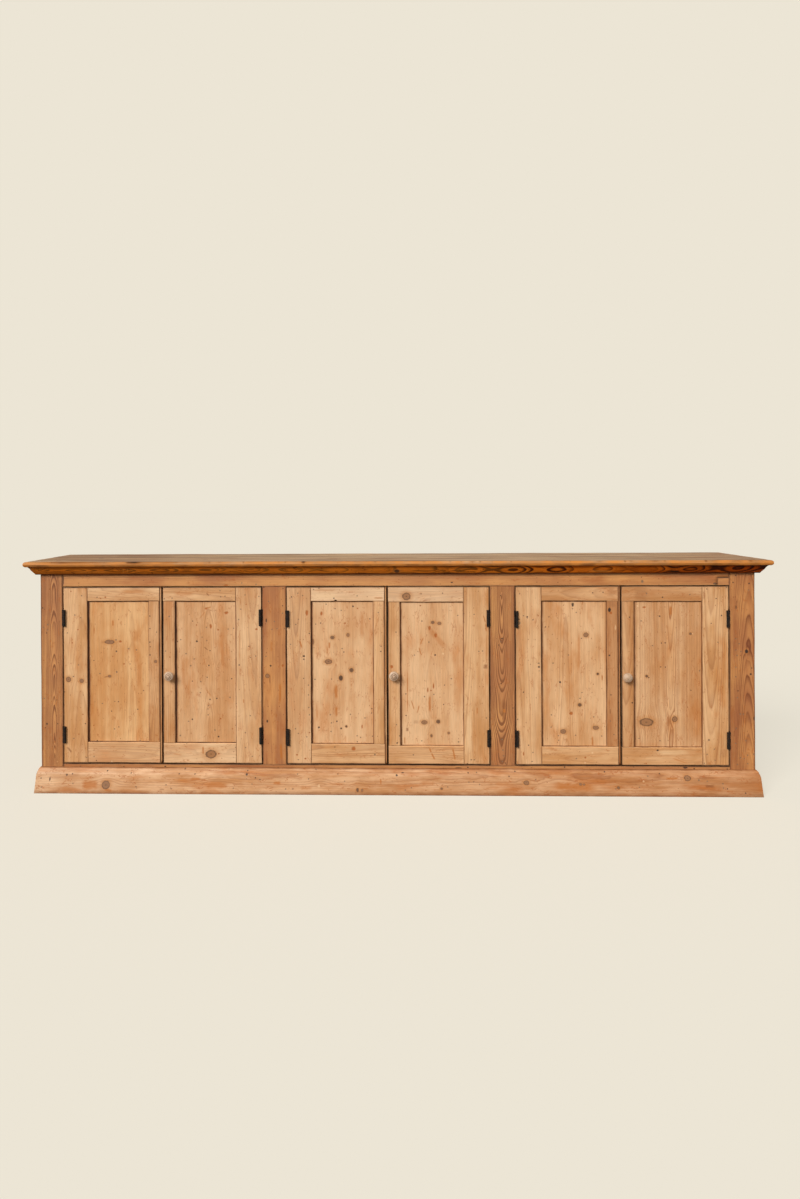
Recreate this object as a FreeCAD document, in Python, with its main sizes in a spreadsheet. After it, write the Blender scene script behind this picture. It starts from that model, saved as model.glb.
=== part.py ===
import FreeCAD, Part
import Sketcher
import os
import re

# A long pine sideboard cupboard: three bays, each with a pair of framed doors.
# Millimetres, +Z up, the front faces -Y, the origin is on the floor under the middle of the whole.

os.makedirs("parts", exist_ok=True)
doc = FreeCAD.newDocument("sideboard_cupboard")

# Driving sizes, each named once
driving_sizes = [
    ("overall_height", "900", "floor to the top surface"),
    ("top_depth", "560", "front nosing to the back edge"),
    ("top_overhang", "52", "the top beyond the case, at the front and both ends"),
    ("top_thick", "20", "thickness of the top boards"),
    ("nosing_round_share", "0.46", "nosing radius as a share of the top's thickness"),
    ("top_front_width", "207", "width of the front top board"),
    ("top_middle_width", "229", "width of the middle top board"),
    ("moulding_height", "30.7", "moulding under the top"),
    ("moulding_reach", "39", "moulding out from the case, at its top"),
    ("moulding_shoulder", "29", "moulding out from the case, under its cove"),
    ("moulding_shoulder_drop", "12", "cove height"),
    ("moulding_foot", "13", "flat under the moulding"),
    ("moulding_foot_round", "3.6", "rounding at the moulding's foot"),
    ("quarter_round_share", "0.207", "rise over chord of a quarter round"),
    ("soft_round_share", "0.15", "rise over chord of a flatter round"),
    ("plinth_ledge", "2", "step between the plinth's two rounds"),
    ("plinth_height", "99", "moulded plinth"),
    ("plinth_foot", "23", "plinth out from the case, at the floor"),
    ("plinth_shoulder", "15.5", "plinth out from the case, under its mouldings"),
    ("plinth_shoulder_drop", "25", "plinth top down to its sloping face"),
    ("plinth_neck", "10.5", "plinth out from the case, between its two rounds"),
    ("plinth_neck_drop", "15", "plinth top down to the neck"),
    ("plinth_lip", "2.5", "flat at the plinth's top edge"),
    ("left_stile_width", "86.5", "left corner stile"),
    ("bay_width_1", "781", "left door opening"),
    ("left_pier_width", "93", "pier between the left and middle bays"),
    ("bay_width_2", "785.5", "middle door opening"),
    ("right_pier_width", "96", "pier between the middle and right bays"),
    ("bay_width_3", "812.5", "right door opening"),
    ("right_stile_width", "95.5", "right corner stile"),
    ("frame_thick", "22", "thickness of the face frame"),
    ("face_rail_height", "78.2", "top rail of the face frame"),
    ("bottom_rail_level", "109.5", "top edge of the face frame's bottom rail"),
    ("bottom_rail_height", "60", "bottom rail of the face frame"),
    ("frame_tenon_length", "30", "tenons of the face frame"),
    ("frame_tenon_thick", "8", "tenons of the face frame"),
    ("frame_tenon_shoulder", "12", "rail or pier edge to its tenon"),
    ("patch_width", "44", "patch let into the top rail's right end"),
    ("patch_height", "30", "patch let into the top rail's right end"),
    ("patch_thick", "7", "patch let into the top rail's right end"),
    ("end_thick", "20", "end panel boards"),
    ("partition_thick", "20", "partitions behind the piers"),
    ("back_board_thick", "14", "back boards"),
    ("back_board_gap", "1.5", "gap between two back boards"),
    ("back_rail_thick", "22", "rails that the back boards are nailed to"),
    ("back_rail_height", "60", "rails that the back boards are nailed to"),
    ("floor_board_thick", "18", "floor boards of the bays"),
    ("floor_bearer_height", "30", "battens under the floor boards"),
    ("shelf_level", "464", "top of the shelves above the floor"),
    ("shelf_thick", "18", "shelf boards"),
    ("shelf_setback", "40", "shelf front behind the face frame"),
    ("shelf_bearer_height", "22", "battens under the shelves"),
    ("bearer_thick", "18", "battens under shelves and floor"),
    ("stop_height", "40", "door stop strip"),
    ("stop_drop", "12", "door stop strip below the top rail"),
    ("stop_thick", "18", "door stop strip"),
    ("stop_clearance", "0.5", "door back to the stop strip"),
    ("door_gap_side", "3", "door to frame at the hinges"),
    ("door_gap_meeting", "5", "between the two doors of a pair"),
    ("door_gap_top", "3.2", "door to the top rail"),
    ("door_gap_bottom", "4", "door to the bottom rail"),
    ("meeting_shift_1", "1", "left pair's meeting line right of its middle"),
    ("meeting_shift_2", "-1", "middle pair's meeting line right of its middle"),
    ("meeting_shift_3", "-3", "right pair's meeting line right of its middle"),
    ("hinge_stile_1", "93.7", "hinge stile of door 1"),
    ("hinge_stile_2", "99.6", "hinge stile of door 2"),
    ("hinge_stile_3", "93", "hinge stile of door 3"),
    ("hinge_stile_4", "97.7", "hinge stile of door 4"),
    ("hinge_stile_5", "97.5", "hinge stile of door 5"),
    ("hinge_stile_6", "99.2", "hinge stile of door 6"),
    ("meeting_stile_left", "43", "meeting stile of a pair's left door"),
    ("meeting_stile_right", "46.5", "meeting stile of a pair's right door"),
    ("bead_width", "8", "bead along the left door's meeting edge"),
    ("top_rail_1", "53.5", "top rail of door 1"),
    ("top_rail_2", "54", "top rail of door 2"),
    ("top_rail_3", "55", "top rail of door 3"),
    ("top_rail_4", "58.5", "top rail of door 4"),
    ("top_rail_5", "55.5", "top rail of door 5"),
    ("top_rail_6", "57", "top rail of door 6"),
    ("bottom_rail_1", "81", "bottom rail of door 1"),
    ("bottom_rail_2", "78.5", "bottom rail of door 2"),
    ("bottom_rail_3", "76.5", "bottom rail of door 3"),
    ("bottom_rail_4", "70.5", "bottom rail of door 4"),
    ("bottom_rail_5", "69.5", "bottom rail of door 5"),
    ("bottom_rail_6", "67.8", "bottom rail of door 6"),
    ("door_tenon_length", "60", "rail tenon in the hinge stile"),
    ("meeting_tenon_length", "25", "meeting stile's tenons in the rails"),
    ("door_tenon_thick", "7", "tenons of the doors"),
    ("door_tenon_shoulder", "10", "edge to tenon in the doors"),
    ("panel_thick", "9", "door panels"),
    ("panel_recess", "7.5", "panel face behind the door's face"),
    ("groove_depth", "9", "groove that holds a panel"),
    ("panel_play", "1", "room for a panel to swell in its groove"),
    ("hinge_height", "63.5", "butt hinge"),
    ("leaf_thick", "2.4", "hinge leaf"),
    ("leaf_width", "19", "hinge leaf let into the edge"),
    ("knuckle_radius", "5.4", "hinge knuckle"),
    ("knuckle_play", "0.3", "between knuckles"),
    ("hinge_pin_radius", "2.2", "hinge pin"),
    ("hinge_pin_play", "0.05", "pin in its knuckles"),
    ("hinge_proud", "5.8", "pin axis in front of the door's face"),
    ("hinge_inset", "5.6", "pin axis over the door, from the middle of the gap"),
    ("crank_clearance", "0.4", "cranked frame leaf in front of the door's face"),
    ("upper_hinge_drop_1", "119.6", "door 1's top to the middle of its upper hinge"),
    ("upper_hinge_drop_2", "118.6", "door 2's top to the middle of its upper hinge"),
    ("upper_hinge_drop_3", "122.6", "door 3's top to the middle of its upper hinge"),
    ("upper_hinge_drop_4", "121.6", "door 4's top to the middle of its upper hinge"),
    ("upper_hinge_drop_5", "125.6", "door 5's top to the middle of its upper hinge"),
    ("upper_hinge_drop_6", "125", "door 6's top to the middle of its upper hinge"),
    ("lower_hinge_rise_1", "110.5", "door 1's foot to the middle of its lower hinge"),
    ("lower_hinge_rise_2", "109", "door 2's foot to the middle of its lower hinge"),
    ("lower_hinge_rise_3", "103.3", "door 3's foot to the middle of its lower hinge"),
    ("lower_hinge_rise_4", "101.5", "door 4's foot to the middle of its lower hinge"),
    ("lower_hinge_rise_5", "99.9", "door 5's foot to the middle of its lower hinge"),
    ("lower_hinge_rise_6", "96.7", "door 6's foot to the middle of its lower hinge"),
    ("knob_inset_2", "26", "door 2's meeting edge to its knob"),
    ("knob_inset_4", "21.5", "door 4's meeting edge to its knob"),
    ("knob_inset_6", "17", "door 6's meeting edge to its knob"),
    ("knob_level_2", "455.5", "height of door 2's knob"),
    ("knob_level_4", "456.5", "height of door 4's knob"),
    ("knob_level_6", "452", "height of door 6's knob"),
    ("knob_radius", "18.5", "turned knob"),
    ("knob_length", "34", "knob out from the door"),
    ("latch_play", "0.3", "door to the knob's foot and to the latch tongue"),
    ("knob_foot_radius", "12", "knob's foot on the door"),
    ("knob_foot_thick", "3", "knob's foot on the door"),
    ("knob_neck_radius", "8.5", "knob's neck"),
    ("knob_neck_end", "12", "knob's foot to the swell of its head"),
    ("knob_rim_start", "19", "door to the knob's full width"),
    ("knob_rim_end", "23", "door to the start of the knob's crown"),
    ("knob_boss_radius", "5", "boss in the middle of the knob"),
    ("knob_boss_length", "2.5", "boss in the middle of the knob"),
    ("knob_boss_round", "2.5", "rounding of the knob's boss"),
    ("spindle_radius", "5", "knob's spindle through the door"),
    ("spindle_play", "0.06", "spindle in its hole"),
    ("tongue_length", "48", "latch tongue, spindle to tip"),
    ("tongue_width", "16", "latch tongue"),
    ("tongue_thick", "8", "latch tongue"),
    ("bolt_radius", "4", "sliding bolt"),
    ("bolt_length", "100", "sliding bolt"),
    ("bolt_play", "0.06", "bolt in its staples"),
    ("bolt_lift", "0.5", "bolt off its plate"),
    ("bolt_rest_gap", "2", "drawn bolt below the stop strip"),
    ("bolt_tip", "8", "drawn bolt above its plate"),
    ("bolt_thumb_radius", "3.5", "thumb peg of the bolt"),
    ("bolt_thumb_length", "12", "thumb peg of the bolt"),
    ("bolt_thumb_rise", "22", "plate's foot to the thumb peg"),
    ("bolt_plate_thick", "2", "bolt plate"),
    ("bolt_plate_width", "26", "bolt plate"),
    ("bolt_plate_height", "80", "bolt plate"),
    ("staple_height", "8", "staples of the bolt plate"),
    ("staple_wall", "4", "staples of the bolt plate"),
    ("staple_inset", "5", "plate's end to its staple"),
    ("stop_hole_play", "1", "bolt in the stop strip's hole"),
    ("cut_overrun", "5", "cuts run past the faces by this much"),
]
sheet = doc.addObject("Spreadsheet::Sheet", "Sizes")
for row, (alias, number, meaning) in enumerate(driving_sizes, start=1):
    sheet.set(f"A{row}", meaning)
    sheet.set(f"B{row}", number)
    sheet.setAlias(f"B{row}", alias)
doc.recompute()

# Counts
knuckle_count = 5
floor_board_count = 3
shelf_board_count = 2
end_board_count = 2
back_board_count = 14
bay_count = 3
door_count = 2 * bay_count
all_bays = range(1, bay_count + 1)
all_doors = range(1, door_count + 1)
left_doors = range(1, door_count + 1, 2)
right_doors = range(2, door_count + 1, 2)
all_piers = range(1, bay_count)
both_signs = range(-1, 2, 2)

# Places and sizes worked out from the driving ones
derived_places = [
    ("case_width", "left_stile_width + bay_width_1 + left_pier_width + bay_width_2"
                   " + right_pier_width + bay_width_3 + right_stile_width"),
    ("case_left", "0 - case_width / 2"),
    ("case_right", "case_width / 2"),
    ("front", "top_overhang - top_depth / 2"),
    ("back", "top_depth / 2"),
    ("case_depth", "back - front"),
    ("case_top", "overall_height - top_thick"),
    ("frame_back", "front + frame_thick"),
    ("boards_front", "back - back_board_thick"),
    ("door_thick", "frame_thick - stop_clearance"),
    ("door_back", "front + door_thick"),
    ("top_back_width", "top_depth - top_front_width - top_middle_width"),
    ("opening_left_1", "case_left + left_stile_width"),
    ("opening_right_1", "opening_left_1 + bay_width_1"),
    ("opening_left_2", "opening_right_1 + left_pier_width"),
    ("opening_right_2", "opening_left_2 + bay_width_2"),
    ("opening_left_3", "opening_right_2 + right_pier_width"),
    ("opening_right_3", "opening_left_3 + bay_width_3"),
    ("partition_middle_1", "opening_right_1 + left_pier_width / 2"),
    ("partition_middle_2", "opening_right_2 + right_pier_width / 2"),
    ("inside_left_1", "case_left + end_thick"),
    ("inside_right_1", "partition_middle_1 - partition_thick / 2"),
    ("inside_left_2", "partition_middle_1 + partition_thick / 2"),
    ("inside_right_2", "partition_middle_2 - partition_thick / 2"),
    ("inside_left_3", "partition_middle_2 + partition_thick / 2"),
    ("inside_right_3", "case_right - end_thick"),
    ("face_rail_low", "case_top - face_rail_height"),
    ("door_low", "bottom_rail_level + door_gap_bottom"),
    ("door_high", "face_rail_low - door_gap_top"),
    ("floor_under", "bottom_rail_level - floor_board_thick"),
    ("lower_rail_low", "floor_under - back_rail_height"),
    ("rails_front", "boards_front - back_rail_thick"),
    ("shelf_under", "shelf_level - shelf_thick"),
    ("spindle_back", "door_thick + latch_play + tongue_thick"),
    ("shelf_front", "frame_back + shelf_setback"),
    ("stop_low", "face_rail_low - stop_drop"),
    ("pin_line", "front - hinge_proud"),
    ("knuckle_step", "hinge_height / %d" % knuckle_count),
    ("bolt_line", "door_back + bolt_plate_thick + bolt_lift + bolt_radius"),
    ("bolt_top", "stop_low - bolt_rest_gap"),
    ("plate_high", "bolt_top - bolt_tip"),
    ("plate_low", "plate_high - bolt_plate_height"),
]
for bay in all_bays:
    left_door = 2 * bay - 1
    right_door = 2 * bay
    derived_places += [
        (f"meeting_{bay}", f"(opening_left_{bay} + opening_right_{bay}) / 2 + meeting_shift_{bay}"),
        (f"door_left_{left_door}", f"opening_left_{bay} + door_gap_side"),
        (f"door_right_{left_door}", f"meeting_{bay} - door_gap_meeting / 2"),
        (f"door_left_{right_door}", f"meeting_{bay} + door_gap_meeting / 2"),
        (f"door_right_{right_door}", f"opening_right_{bay} - door_gap_side"),
        (f"hinge_line_{left_door}", f"opening_left_{bay} + door_gap_side / 2 + hinge_inset"),
        (f"hinge_line_{right_door}", f"opening_right_{bay} - door_gap_side / 2 - hinge_inset"),
        (f"knob_line_{right_door}", f"door_left_{right_door} + knob_inset_{right_door}"),
        (f"bolt_middle_{left_door}", f"door_right_{left_door} - bead_width - meeting_stile_left / 2"),
    ]

size_names = {alias for alias, number, meaning in driving_sizes}
place_names = {name for name, formula in derived_places}


def linked(text, inside=False):
    """Put the owner's name before each size or place that an expression uses."""
    def owner(word):
        name = word.group()
        if name in size_names:
            return "Sizes." + name
        if name in place_names and not inside:
            return "Layout." + name
        return name
    return re.sub(r"[A-Za-z_]\w*", owner, text)


layout = doc.addObject("App::VarSet", "Layout")
for name, formula in derived_places:
    layout.addProperty("App::PropertyFloat", name)
for name, formula in derived_places:
    layout.setExpression(name, linked(formula, inside=True))
doc.recompute()


def value(text):
    """The number that an expression stands for now."""
    return float(layout.evalExpression(linked(text)))


def bind(item, **formulas):
    """Bind properties to expressions; two underscores stand for a dot."""
    for name, text in formulas.items():
        item.setExpression(name.replace("__", "."), linked(text))
    return item


def place(item, x="0", y="0", z="0"):
    return bind(item, Placement__Base__x=x, Placement__Base__y=y, Placement__Base__z=z)


def box(name, x, y, z):
    """A board: x, y and z are pairs of expressions, its near and far faces."""
    item = doc.addObject("Part::Box", name)
    place(item, x[0], y[0], z[0])
    length, width, height = [f"({far}) - ({near})" for near, far in (x, y, z)]
    return bind(item, Length=length, Width=width, Height=height)


def rod(name, radius, x, y, z, length, along=(0, 0, 1)):
    """A round piece that starts at x, y, z and runs along a direction."""
    item = doc.addObject("Part::Cylinder", name)
    item.Placement.Rotation = FreeCAD.Rotation(FreeCAD.Vector(0, 0, 1), FreeCAD.Vector(*along))
    place(item, x, y, z)
    return bind(item, Radius=radius, Height=length)


def group(name, items):
    item = doc.addObject("Part::Compound", name)
    item.Links = items
    return item


def fuse(name, items):
    item = doc.addObject("Part::MultiFuse", name)
    item.Shapes = items
    return item


def cut(name, base, tools):
    item = doc.addObject("Part::Cut", name)
    item.Base = base
    item.Tool = group(name + "_tools", tools)
    return item


pieces = []


def piece(label, item):
    """Name a finished sub-part and put it on the list to be written."""
    item.Label = label
    pieces.append(item)
    return item


def role_plane(body, role):
    return [feature for feature in body.Origin.OriginFeatures if feature.Role == role][0]


def outline(body, name, plane, path):
    """Draw a closed sketch. Each step is (x, y) or, for an arc, (x, y, share, side).

    The share is the arc's rise over its chord. The side, left or right, is the one that the arc
    bulges to, seen along its run.
    """
    sketch = body.newObject("Sketcher::SketchObject", name)
    sketch.AttachmentSupport = (role_plane(body, plane), [""])
    sketch.MapMode = "FlatFace"
    starts = []
    stops = []
    rules = []
    rule_texts = []

    def pin(geometry, end, x, y):
        for kind, text in (("DistanceX", x), ("DistanceY", y)):
            rules.append(Sketcher.Constraint(kind, -1, 1, geometry, end, value(text)))
            rule_texts.append(text)

    def spot(x, y):
        return FreeCAD.Vector(value(x), value(y), 0)

    on_arcs = []
    for index, step in enumerate(path):
        before = path[index - 1]
        begin = spot(before[0], before[1])
        finish = spot(step[0], step[1])
        if len(step) == 2:
            line = sketch.addGeometry(Part.LineSegment(begin, finish))
            starts.append((line, 1))
            stops.append((line, 2))
        else:
            forward = step[3] == "right"
            rise = f"(0 - {step[2]})" if forward else step[2]
            middle_x = f"(({step[0]}) + ({before[0]})) / 2 - {rise} * (({step[1]}) - ({before[1]}))"
            middle_y = f"(({step[1]}) + ({before[1]})) / 2 + {rise} * (({step[0]}) - ({before[0]}))"
            middle = spot(middle_x, middle_y)
            ends = (begin, finish) if forward else (finish, begin)
            arc = sketch.addGeometry(Part.Arc(ends[0], middle, ends[1]))
            guide = sketch.addGeometry(Part.Point(middle), True)
            starts.append((arc, 1 if forward else 2))
            stops.append((arc, 2 if forward else 1))
            pin(guide, 1, middle_x, middle_y)
            on_arcs.append(Sketcher.Constraint("PointOnObject", guide, 1, arc))
        pin(*stops[-1], step[0], step[1])
    for index in range(len(path)):
        on_arcs.append(Sketcher.Constraint("Coincident", *stops[index], *starts[(index + 1) % len(path)]))
    sketch.addConstraint(rules + on_arcs)
    for index, text in enumerate(rule_texts):
        bind(sketch, **{f"Constraints[{index}]": text})
    return sketch


def flat_outline(body, name, plane, low, high):
    """A rectangle from its low corner to its high corner."""
    path = [(low[0], low[1]), (high[0], low[1]), (high[0], high[1]), (low[0], high[1])]
    return outline(body, name, plane, path)


def mitred_strip(label, path, run, reach, ends):
    """A moulded strip along X whose back is at y = 0, with mitred or square ends."""
    body = doc.addObject("PartDesign::Body", label)
    profile = outline(body, label + "_profile", "YZ_Plane", path)
    pad = body.newObject("PartDesign::Pad", label + "_run")
    pad.Profile = profile
    pad.SideType = "Symmetric"
    bind(pad, Length=f"{run} + 2 * {reach}")
    doc.recompute()
    before = body.Shape.Volume
    for side, end in zip(both_signs, ends):
        corner = f"{side} * ({run} / 2)"
        outer = f"{side} * ({run} / 2 + {reach} + cut_overrun)"
        if end == "mitre":
            path = [(outer, f"0 - {reach} - cut_overrun"), (outer, "cut_overrun"),
                    (f"{side} * ({run} / 2 - cut_overrun)", "cut_overrun")]
        else:
            path = [(outer, f"0 - {reach} - cut_overrun"), (outer, "cut_overrun"),
                    (corner, "cut_overrun"), (corner, f"0 - {reach} - cut_overrun")]
        waste = outline(body, f"{label}_{end}_{side + 1}", "XY_Plane", path)
        pocket = body.newObject("PartDesign::Pocket", f"{label}_trim_{side + 1}")
        pocket.Profile = waste
        pocket.Type = "ThroughAll"
        pocket.Reversed = True
        doc.recompute()
        if body.Shape.Volume >= before:
            raise RuntimeError(f"the end of {label} was not cut")
        before = body.Shape.Volume
    return body


# Top boards, with a worn round nosing at the front and the ends
def top_board(label, y, rounded_front):
    body = doc.addObject("PartDesign::Body", label)
    blank = body.newObject("PartDesign::Pad", label + "_blank")
    low = ("case_left - top_overhang", y[0])
    high = ("case_right + top_overhang", y[1])
    blank.Profile = flat_outline(body, label + "_plan", "XY_Plane", low, high)
    bind(blank, Length="top_thick")
    place(body, z="case_top")
    doc.recompute()
    near = value(y[0])
    side = value("case_right + top_overhang")
    chosen = []
    for index, edge in enumerate(blank.Shape.Edges, start=1):
        middle = edge.BoundBox.Center
        along_end = abs(abs(middle.x) - side) < 0.001
        along_front = abs(middle.y - near) < 0.001
        upright = edge.BoundBox.ZLength > edge.BoundBox.XLength + edge.BoundBox.YLength
        if (along_end and not upright) or (rounded_front and along_front):
            chosen.append(f"Edge{index}")
    nosing = body.newObject("PartDesign::Fillet", label + "_nosing")
    nosing.Base = (blank, chosen)
    bind(nosing, Radius="top_thick * nosing_round_share")
    return piece(label, body)


front_joint = "(0 - top_depth / 2 + top_front_width)"
back_joint = "(top_depth / 2 - top_back_width)"
top_board("top_board_front", ("0 - top_depth / 2", front_joint), True)
top_board("top_board_middle", (front_joint, back_joint), False)
top_board("top_board_back", (back_joint, "top_depth / 2"), False)

# Moulding under the top and plinth, each a front length and two returns
moulding_path = [
    ("0", "0"),
    ("0 - moulding_foot", "0"),
    ("0 - moulding_foot - moulding_foot_round", "moulding_foot_round", "quarter_round_share", "left"),
    ("0 - moulding_shoulder", "moulding_height - moulding_shoulder_drop"),
    ("0 - moulding_reach", "moulding_height", "soft_round_share", "right"),
    ("0", "moulding_height"),
]
plinth_path = [
    ("0", "0"),
    ("0 - plinth_foot", "0"),
    ("0 - plinth_shoulder", "plinth_height - plinth_shoulder_drop"),
    ("0 - plinth_neck - plinth_ledge", "plinth_height - plinth_neck_drop", "soft_round_share", "left"),
    ("0 - plinth_neck", "plinth_height - plinth_neck_drop"),
    ("0 - plinth_lip", "plinth_height", "quarter_round_share", "left"),
    ("0", "plinth_height"),
]


quarter_turn_angle = 90


def strips_round_case(name, path, reach, level):
    """The front strip, and the two returns as one group."""
    front_strip = mitred_strip(name + "_front", path, "case_width", reach, ("mitre", "mitre"))
    place(front_strip, y="front", z=level)
    piece(name + "_front", front_strip)
    returns = []
    for sign, side, ends in zip(both_signs, ("left", "right"), (("square", "mitre"), ("mitre", "square"))):
        edge = "case_" + side
        strip = mitred_strip(f"{name}_{side}", path, "case_depth", reach, ends)
        strip.Placement.Rotation = FreeCAD.Rotation(FreeCAD.Vector(0, 0, 1), sign * quarter_turn_angle)
        returns.append(place(strip, edge, "(front + back) / 2", level))
    piece(name + "_returns", group(name + "_return_pair", returns))


strips_round_case("top_moulding", moulding_path, "moulding_reach", "case_top - moulding_height")
strips_round_case("plinth", plinth_path, "plinth_foot", "0")

# Hinges: a barrel of knuckles shared out between the frame's leaf and the door's leaf
frame_plates = {}
door_plates = {}
frame_leaves = []
door_leaves = {}
hinge_pins = []


def hinge_leaf(name, plates, line, low, windows):
    """A leaf keeps its own knuckles, and stays behind the door's face at the other leaf's."""
    barrel = rod(name + "_barrel", "knuckle_radius", line, "pin_line", low, "hinge_height")
    blank = fuse(name + "_blank", plates + [barrel])
    bore = rod(name + "_bore", "hinge_pin_radius + hinge_pin_play", line, "pin_line", low, "hinge_height")
    tools = [bore]
    room = "(hinge_inset + door_gap_side + leaf_thick + knuckle_radius)"
    for window in windows:
        start = f"{low} + knuckle_step * {window} - knuckle_play / 2"
        tools.append(rod(f"{name}_window_{window}", "knuckle_radius + knuckle_play", line, "pin_line",
                         start, "knuckle_step + knuckle_play"))
        tools.append(box(f"{name}_room_{window}", (f"{line} - {room}", f"{line} + {room}"),
                         ("pin_line - knuckle_radius - knuckle_play", "front"),
                         (start, f"{start} + knuckle_step + knuckle_play")))
    return cut(name, blank, tools)


for number in all_doors:
    bay = (number + 1) // 2
    hung_left = number % 2 == 1
    if hung_left:
        door_side = (f"door_left_{number}", f"door_left_{number} + leaf_thick")
        frame_side = (f"opening_left_{bay} - leaf_thick", f"opening_left_{bay}")
    else:
        door_side = (f"door_right_{number} - leaf_thick", f"door_right_{number}")
        frame_side = (f"opening_right_{bay}", f"opening_right_{bay} + leaf_thick")
    frame_plates[number] = []
    door_plates[number] = []
    door_leaves[number] = []
    for end, middle in (("upper", f"door_high - upper_hinge_drop_{number}"),
                        ("lower", f"door_low + lower_hinge_rise_{number}")):
        low = f"({middle} - hinge_height / 2)"
        name = f"hinge_{number}_{end}"
        deep = ("front - crank_clearance - leaf_thick", "front + leaf_width")
        tall = (low, f"{low} + hinge_height")
        frame_plate = box(name + "_frame_plate", frame_side, deep, tall)
        door_plate = box(name + "_door_plate", door_side, deep, tall)
        line = f"hinge_line_{number}"
        crank_side = (frame_side[0], line) if hung_left else (line, frame_side[1])
        crank = box(name + "_frame_crank", crank_side,
                    ("front - crank_clearance - leaf_thick", "front - crank_clearance"), tall)
        odd_knuckles = range(1, knuckle_count, 2)
        even_knuckles = range(0, knuckle_count, 2)
        frame_leaves.append(hinge_leaf(name + "_frame_leaf", [frame_plate, crank], line, low, odd_knuckles))
        door_leaves[number].append(hinge_leaf(name + "_door_leaf", [door_plate], line, low, even_knuckles))
        hinge_pins.append(rod(name + "_pin", "hinge_pin_radius", line, "pin_line", low, "hinge_height"))
        frame_plates[number].append(frame_plate)
        door_plates[number].append(door_plate)
piece("hinge_frame_leaves", group("frame_leaves", frame_leaves))
piece("hinge_pins", group("pins", hinge_pins))

# Face frame, tenoned together
frame_deep = ("front", "frame_back")
tenon_deep = ("(front + frame_back - frame_tenon_thick) / 2",
              "(front + frame_back + frame_tenon_thick) / 2")
rail_run = ("opening_left_1", "opening_right_3")
tenon_run = ("opening_left_1 - frame_tenon_length", "opening_right_3 + frame_tenon_length")
top_tenon = box("face_top_tenon", tenon_run, tenon_deep,
                ("face_rail_low + frame_tenon_shoulder", "case_top - frame_tenon_shoulder"))
bottom_tenon = box("face_bottom_tenon", tenon_run, tenon_deep,
                   ("bottom_rail_level - bottom_rail_height + frame_tenon_shoulder",
                    "bottom_rail_level - frame_tenon_shoulder"))
pier_tenons = []
for bay, label in zip(all_piers, ("pier_left", "pier_right")):
    wide = (f"opening_right_{bay}", f"opening_left_{bay + 1}")
    blank = box(label + "_blank", wide, frame_deep, ("bottom_rail_level", "face_rail_low"))
    tenon = box(label + "_tenon",
                (wide[0] + " + frame_tenon_shoulder", wide[1] + " - frame_tenon_shoulder"), tenon_deep,
                ("bottom_rail_level - frame_tenon_length", "face_rail_low + frame_tenon_length"))
    pier_tenons.append(tenon)
    whole = fuse(label + "_whole", [blank, tenon])
    plates = frame_plates[2 * bay] + frame_plates[2 * bay + 1]
    piece(label, cut(label + "_cut", whole, plates))
for side, wide, number in (("left", ("case_left", "opening_left_1"), min(all_doors)),
                           ("right", ("opening_right_3", "case_right"), max(all_doors))):
    label = "corner_stile_" + side
    blank = box(label + "_blank", wide, frame_deep, ("0", "case_top"))
    piece(label, cut(label + "_cut", blank, [top_tenon, bottom_tenon] + frame_plates[number]))
patch = box("top_rail_patch", ("opening_right_3 - patch_width", "opening_right_3"),
            ("front", "front + patch_thick"), ("face_rail_low", "face_rail_low + patch_height"))
top_rail_blank = box("face_top_rail_blank", rail_run, frame_deep, ("face_rail_low", "case_top"))
top_rail = cut("face_top_rail_cut", fuse("face_top_rail_whole", [top_rail_blank, top_tenon]),
               pier_tenons + [patch])
piece("face_top_rail", group("face_top_rail_and_patch", [top_rail, patch]))
bottom_rail_blank = box("face_bottom_rail_blank", rail_run, frame_deep,
                        ("bottom_rail_level - bottom_rail_height", "bottom_rail_level"))
bottom_rail_whole = fuse("face_bottom_rail_whole", [bottom_rail_blank, bottom_tenon])
piece("face_bottom_rail", cut("face_bottom_rail_cut", bottom_rail_whole, pier_tenons))


# Case: ends, partitions, back, floor and shelves
def boards_across(name, count, x, y, z):
    """Boards side by side from front to back."""
    step = f"(({y[1]}) - ({y[0]})) / {count}"
    edges = [f"{y[0]} + {step} * {index}" for index in range(count + 1)]
    return [box(f"{name}_{index + 1}", x, (edges[index], edges[index + 1]), z) for index in range(count)]


full_height = ("0", "case_top")
for label, wide in (("end_panel_left", ("case_left", "case_left + end_thick")),
                    ("end_panel_right", ("case_right - end_thick", "case_right"))):
    end_boards = boards_across(label, end_board_count, wide, ("frame_back", "back"), full_height)
    piece(label, group(label + "_boards", end_boards))
rail_deep = ("rails_front", "boards_front")
inside = ("inside_left_1", "inside_right_3")
upper_back_rail = box("upper_back_rail", inside, rail_deep, ("case_top - back_rail_height", "case_top"))
lower_back_rail = box("lower_back_rail", inside, rail_deep, ("lower_rail_low", "floor_under"))
piece("back_rails", group("back_rail_pair", [upper_back_rail, lower_back_rail]))
partitions = []
for bay in all_piers:
    blank = box(f"partition_{bay}_blank", (f"inside_right_{bay}", f"inside_left_{bay + 1}"),
                ("frame_back", "boards_front"), full_height)
    partitions.append(cut(f"partition_{bay}", blank, [upper_back_rail, lower_back_rail]))
piece("partitions", group("partition_pair", partitions))
pitch = f"(inside_right_3 - inside_left_1) / {back_board_count}"
back_boards = [box(f"back_board_{index + 1}", (f"inside_left_1 + {pitch} * {index}",
                                               f"inside_left_1 + {pitch} * {index + 1} - back_board_gap"),
                   ("boards_front", "back"), ("lower_rail_low", "case_top"))
               for index in range(back_board_count)]
piece("back_boards", group("back_board_row", back_boards))

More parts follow.
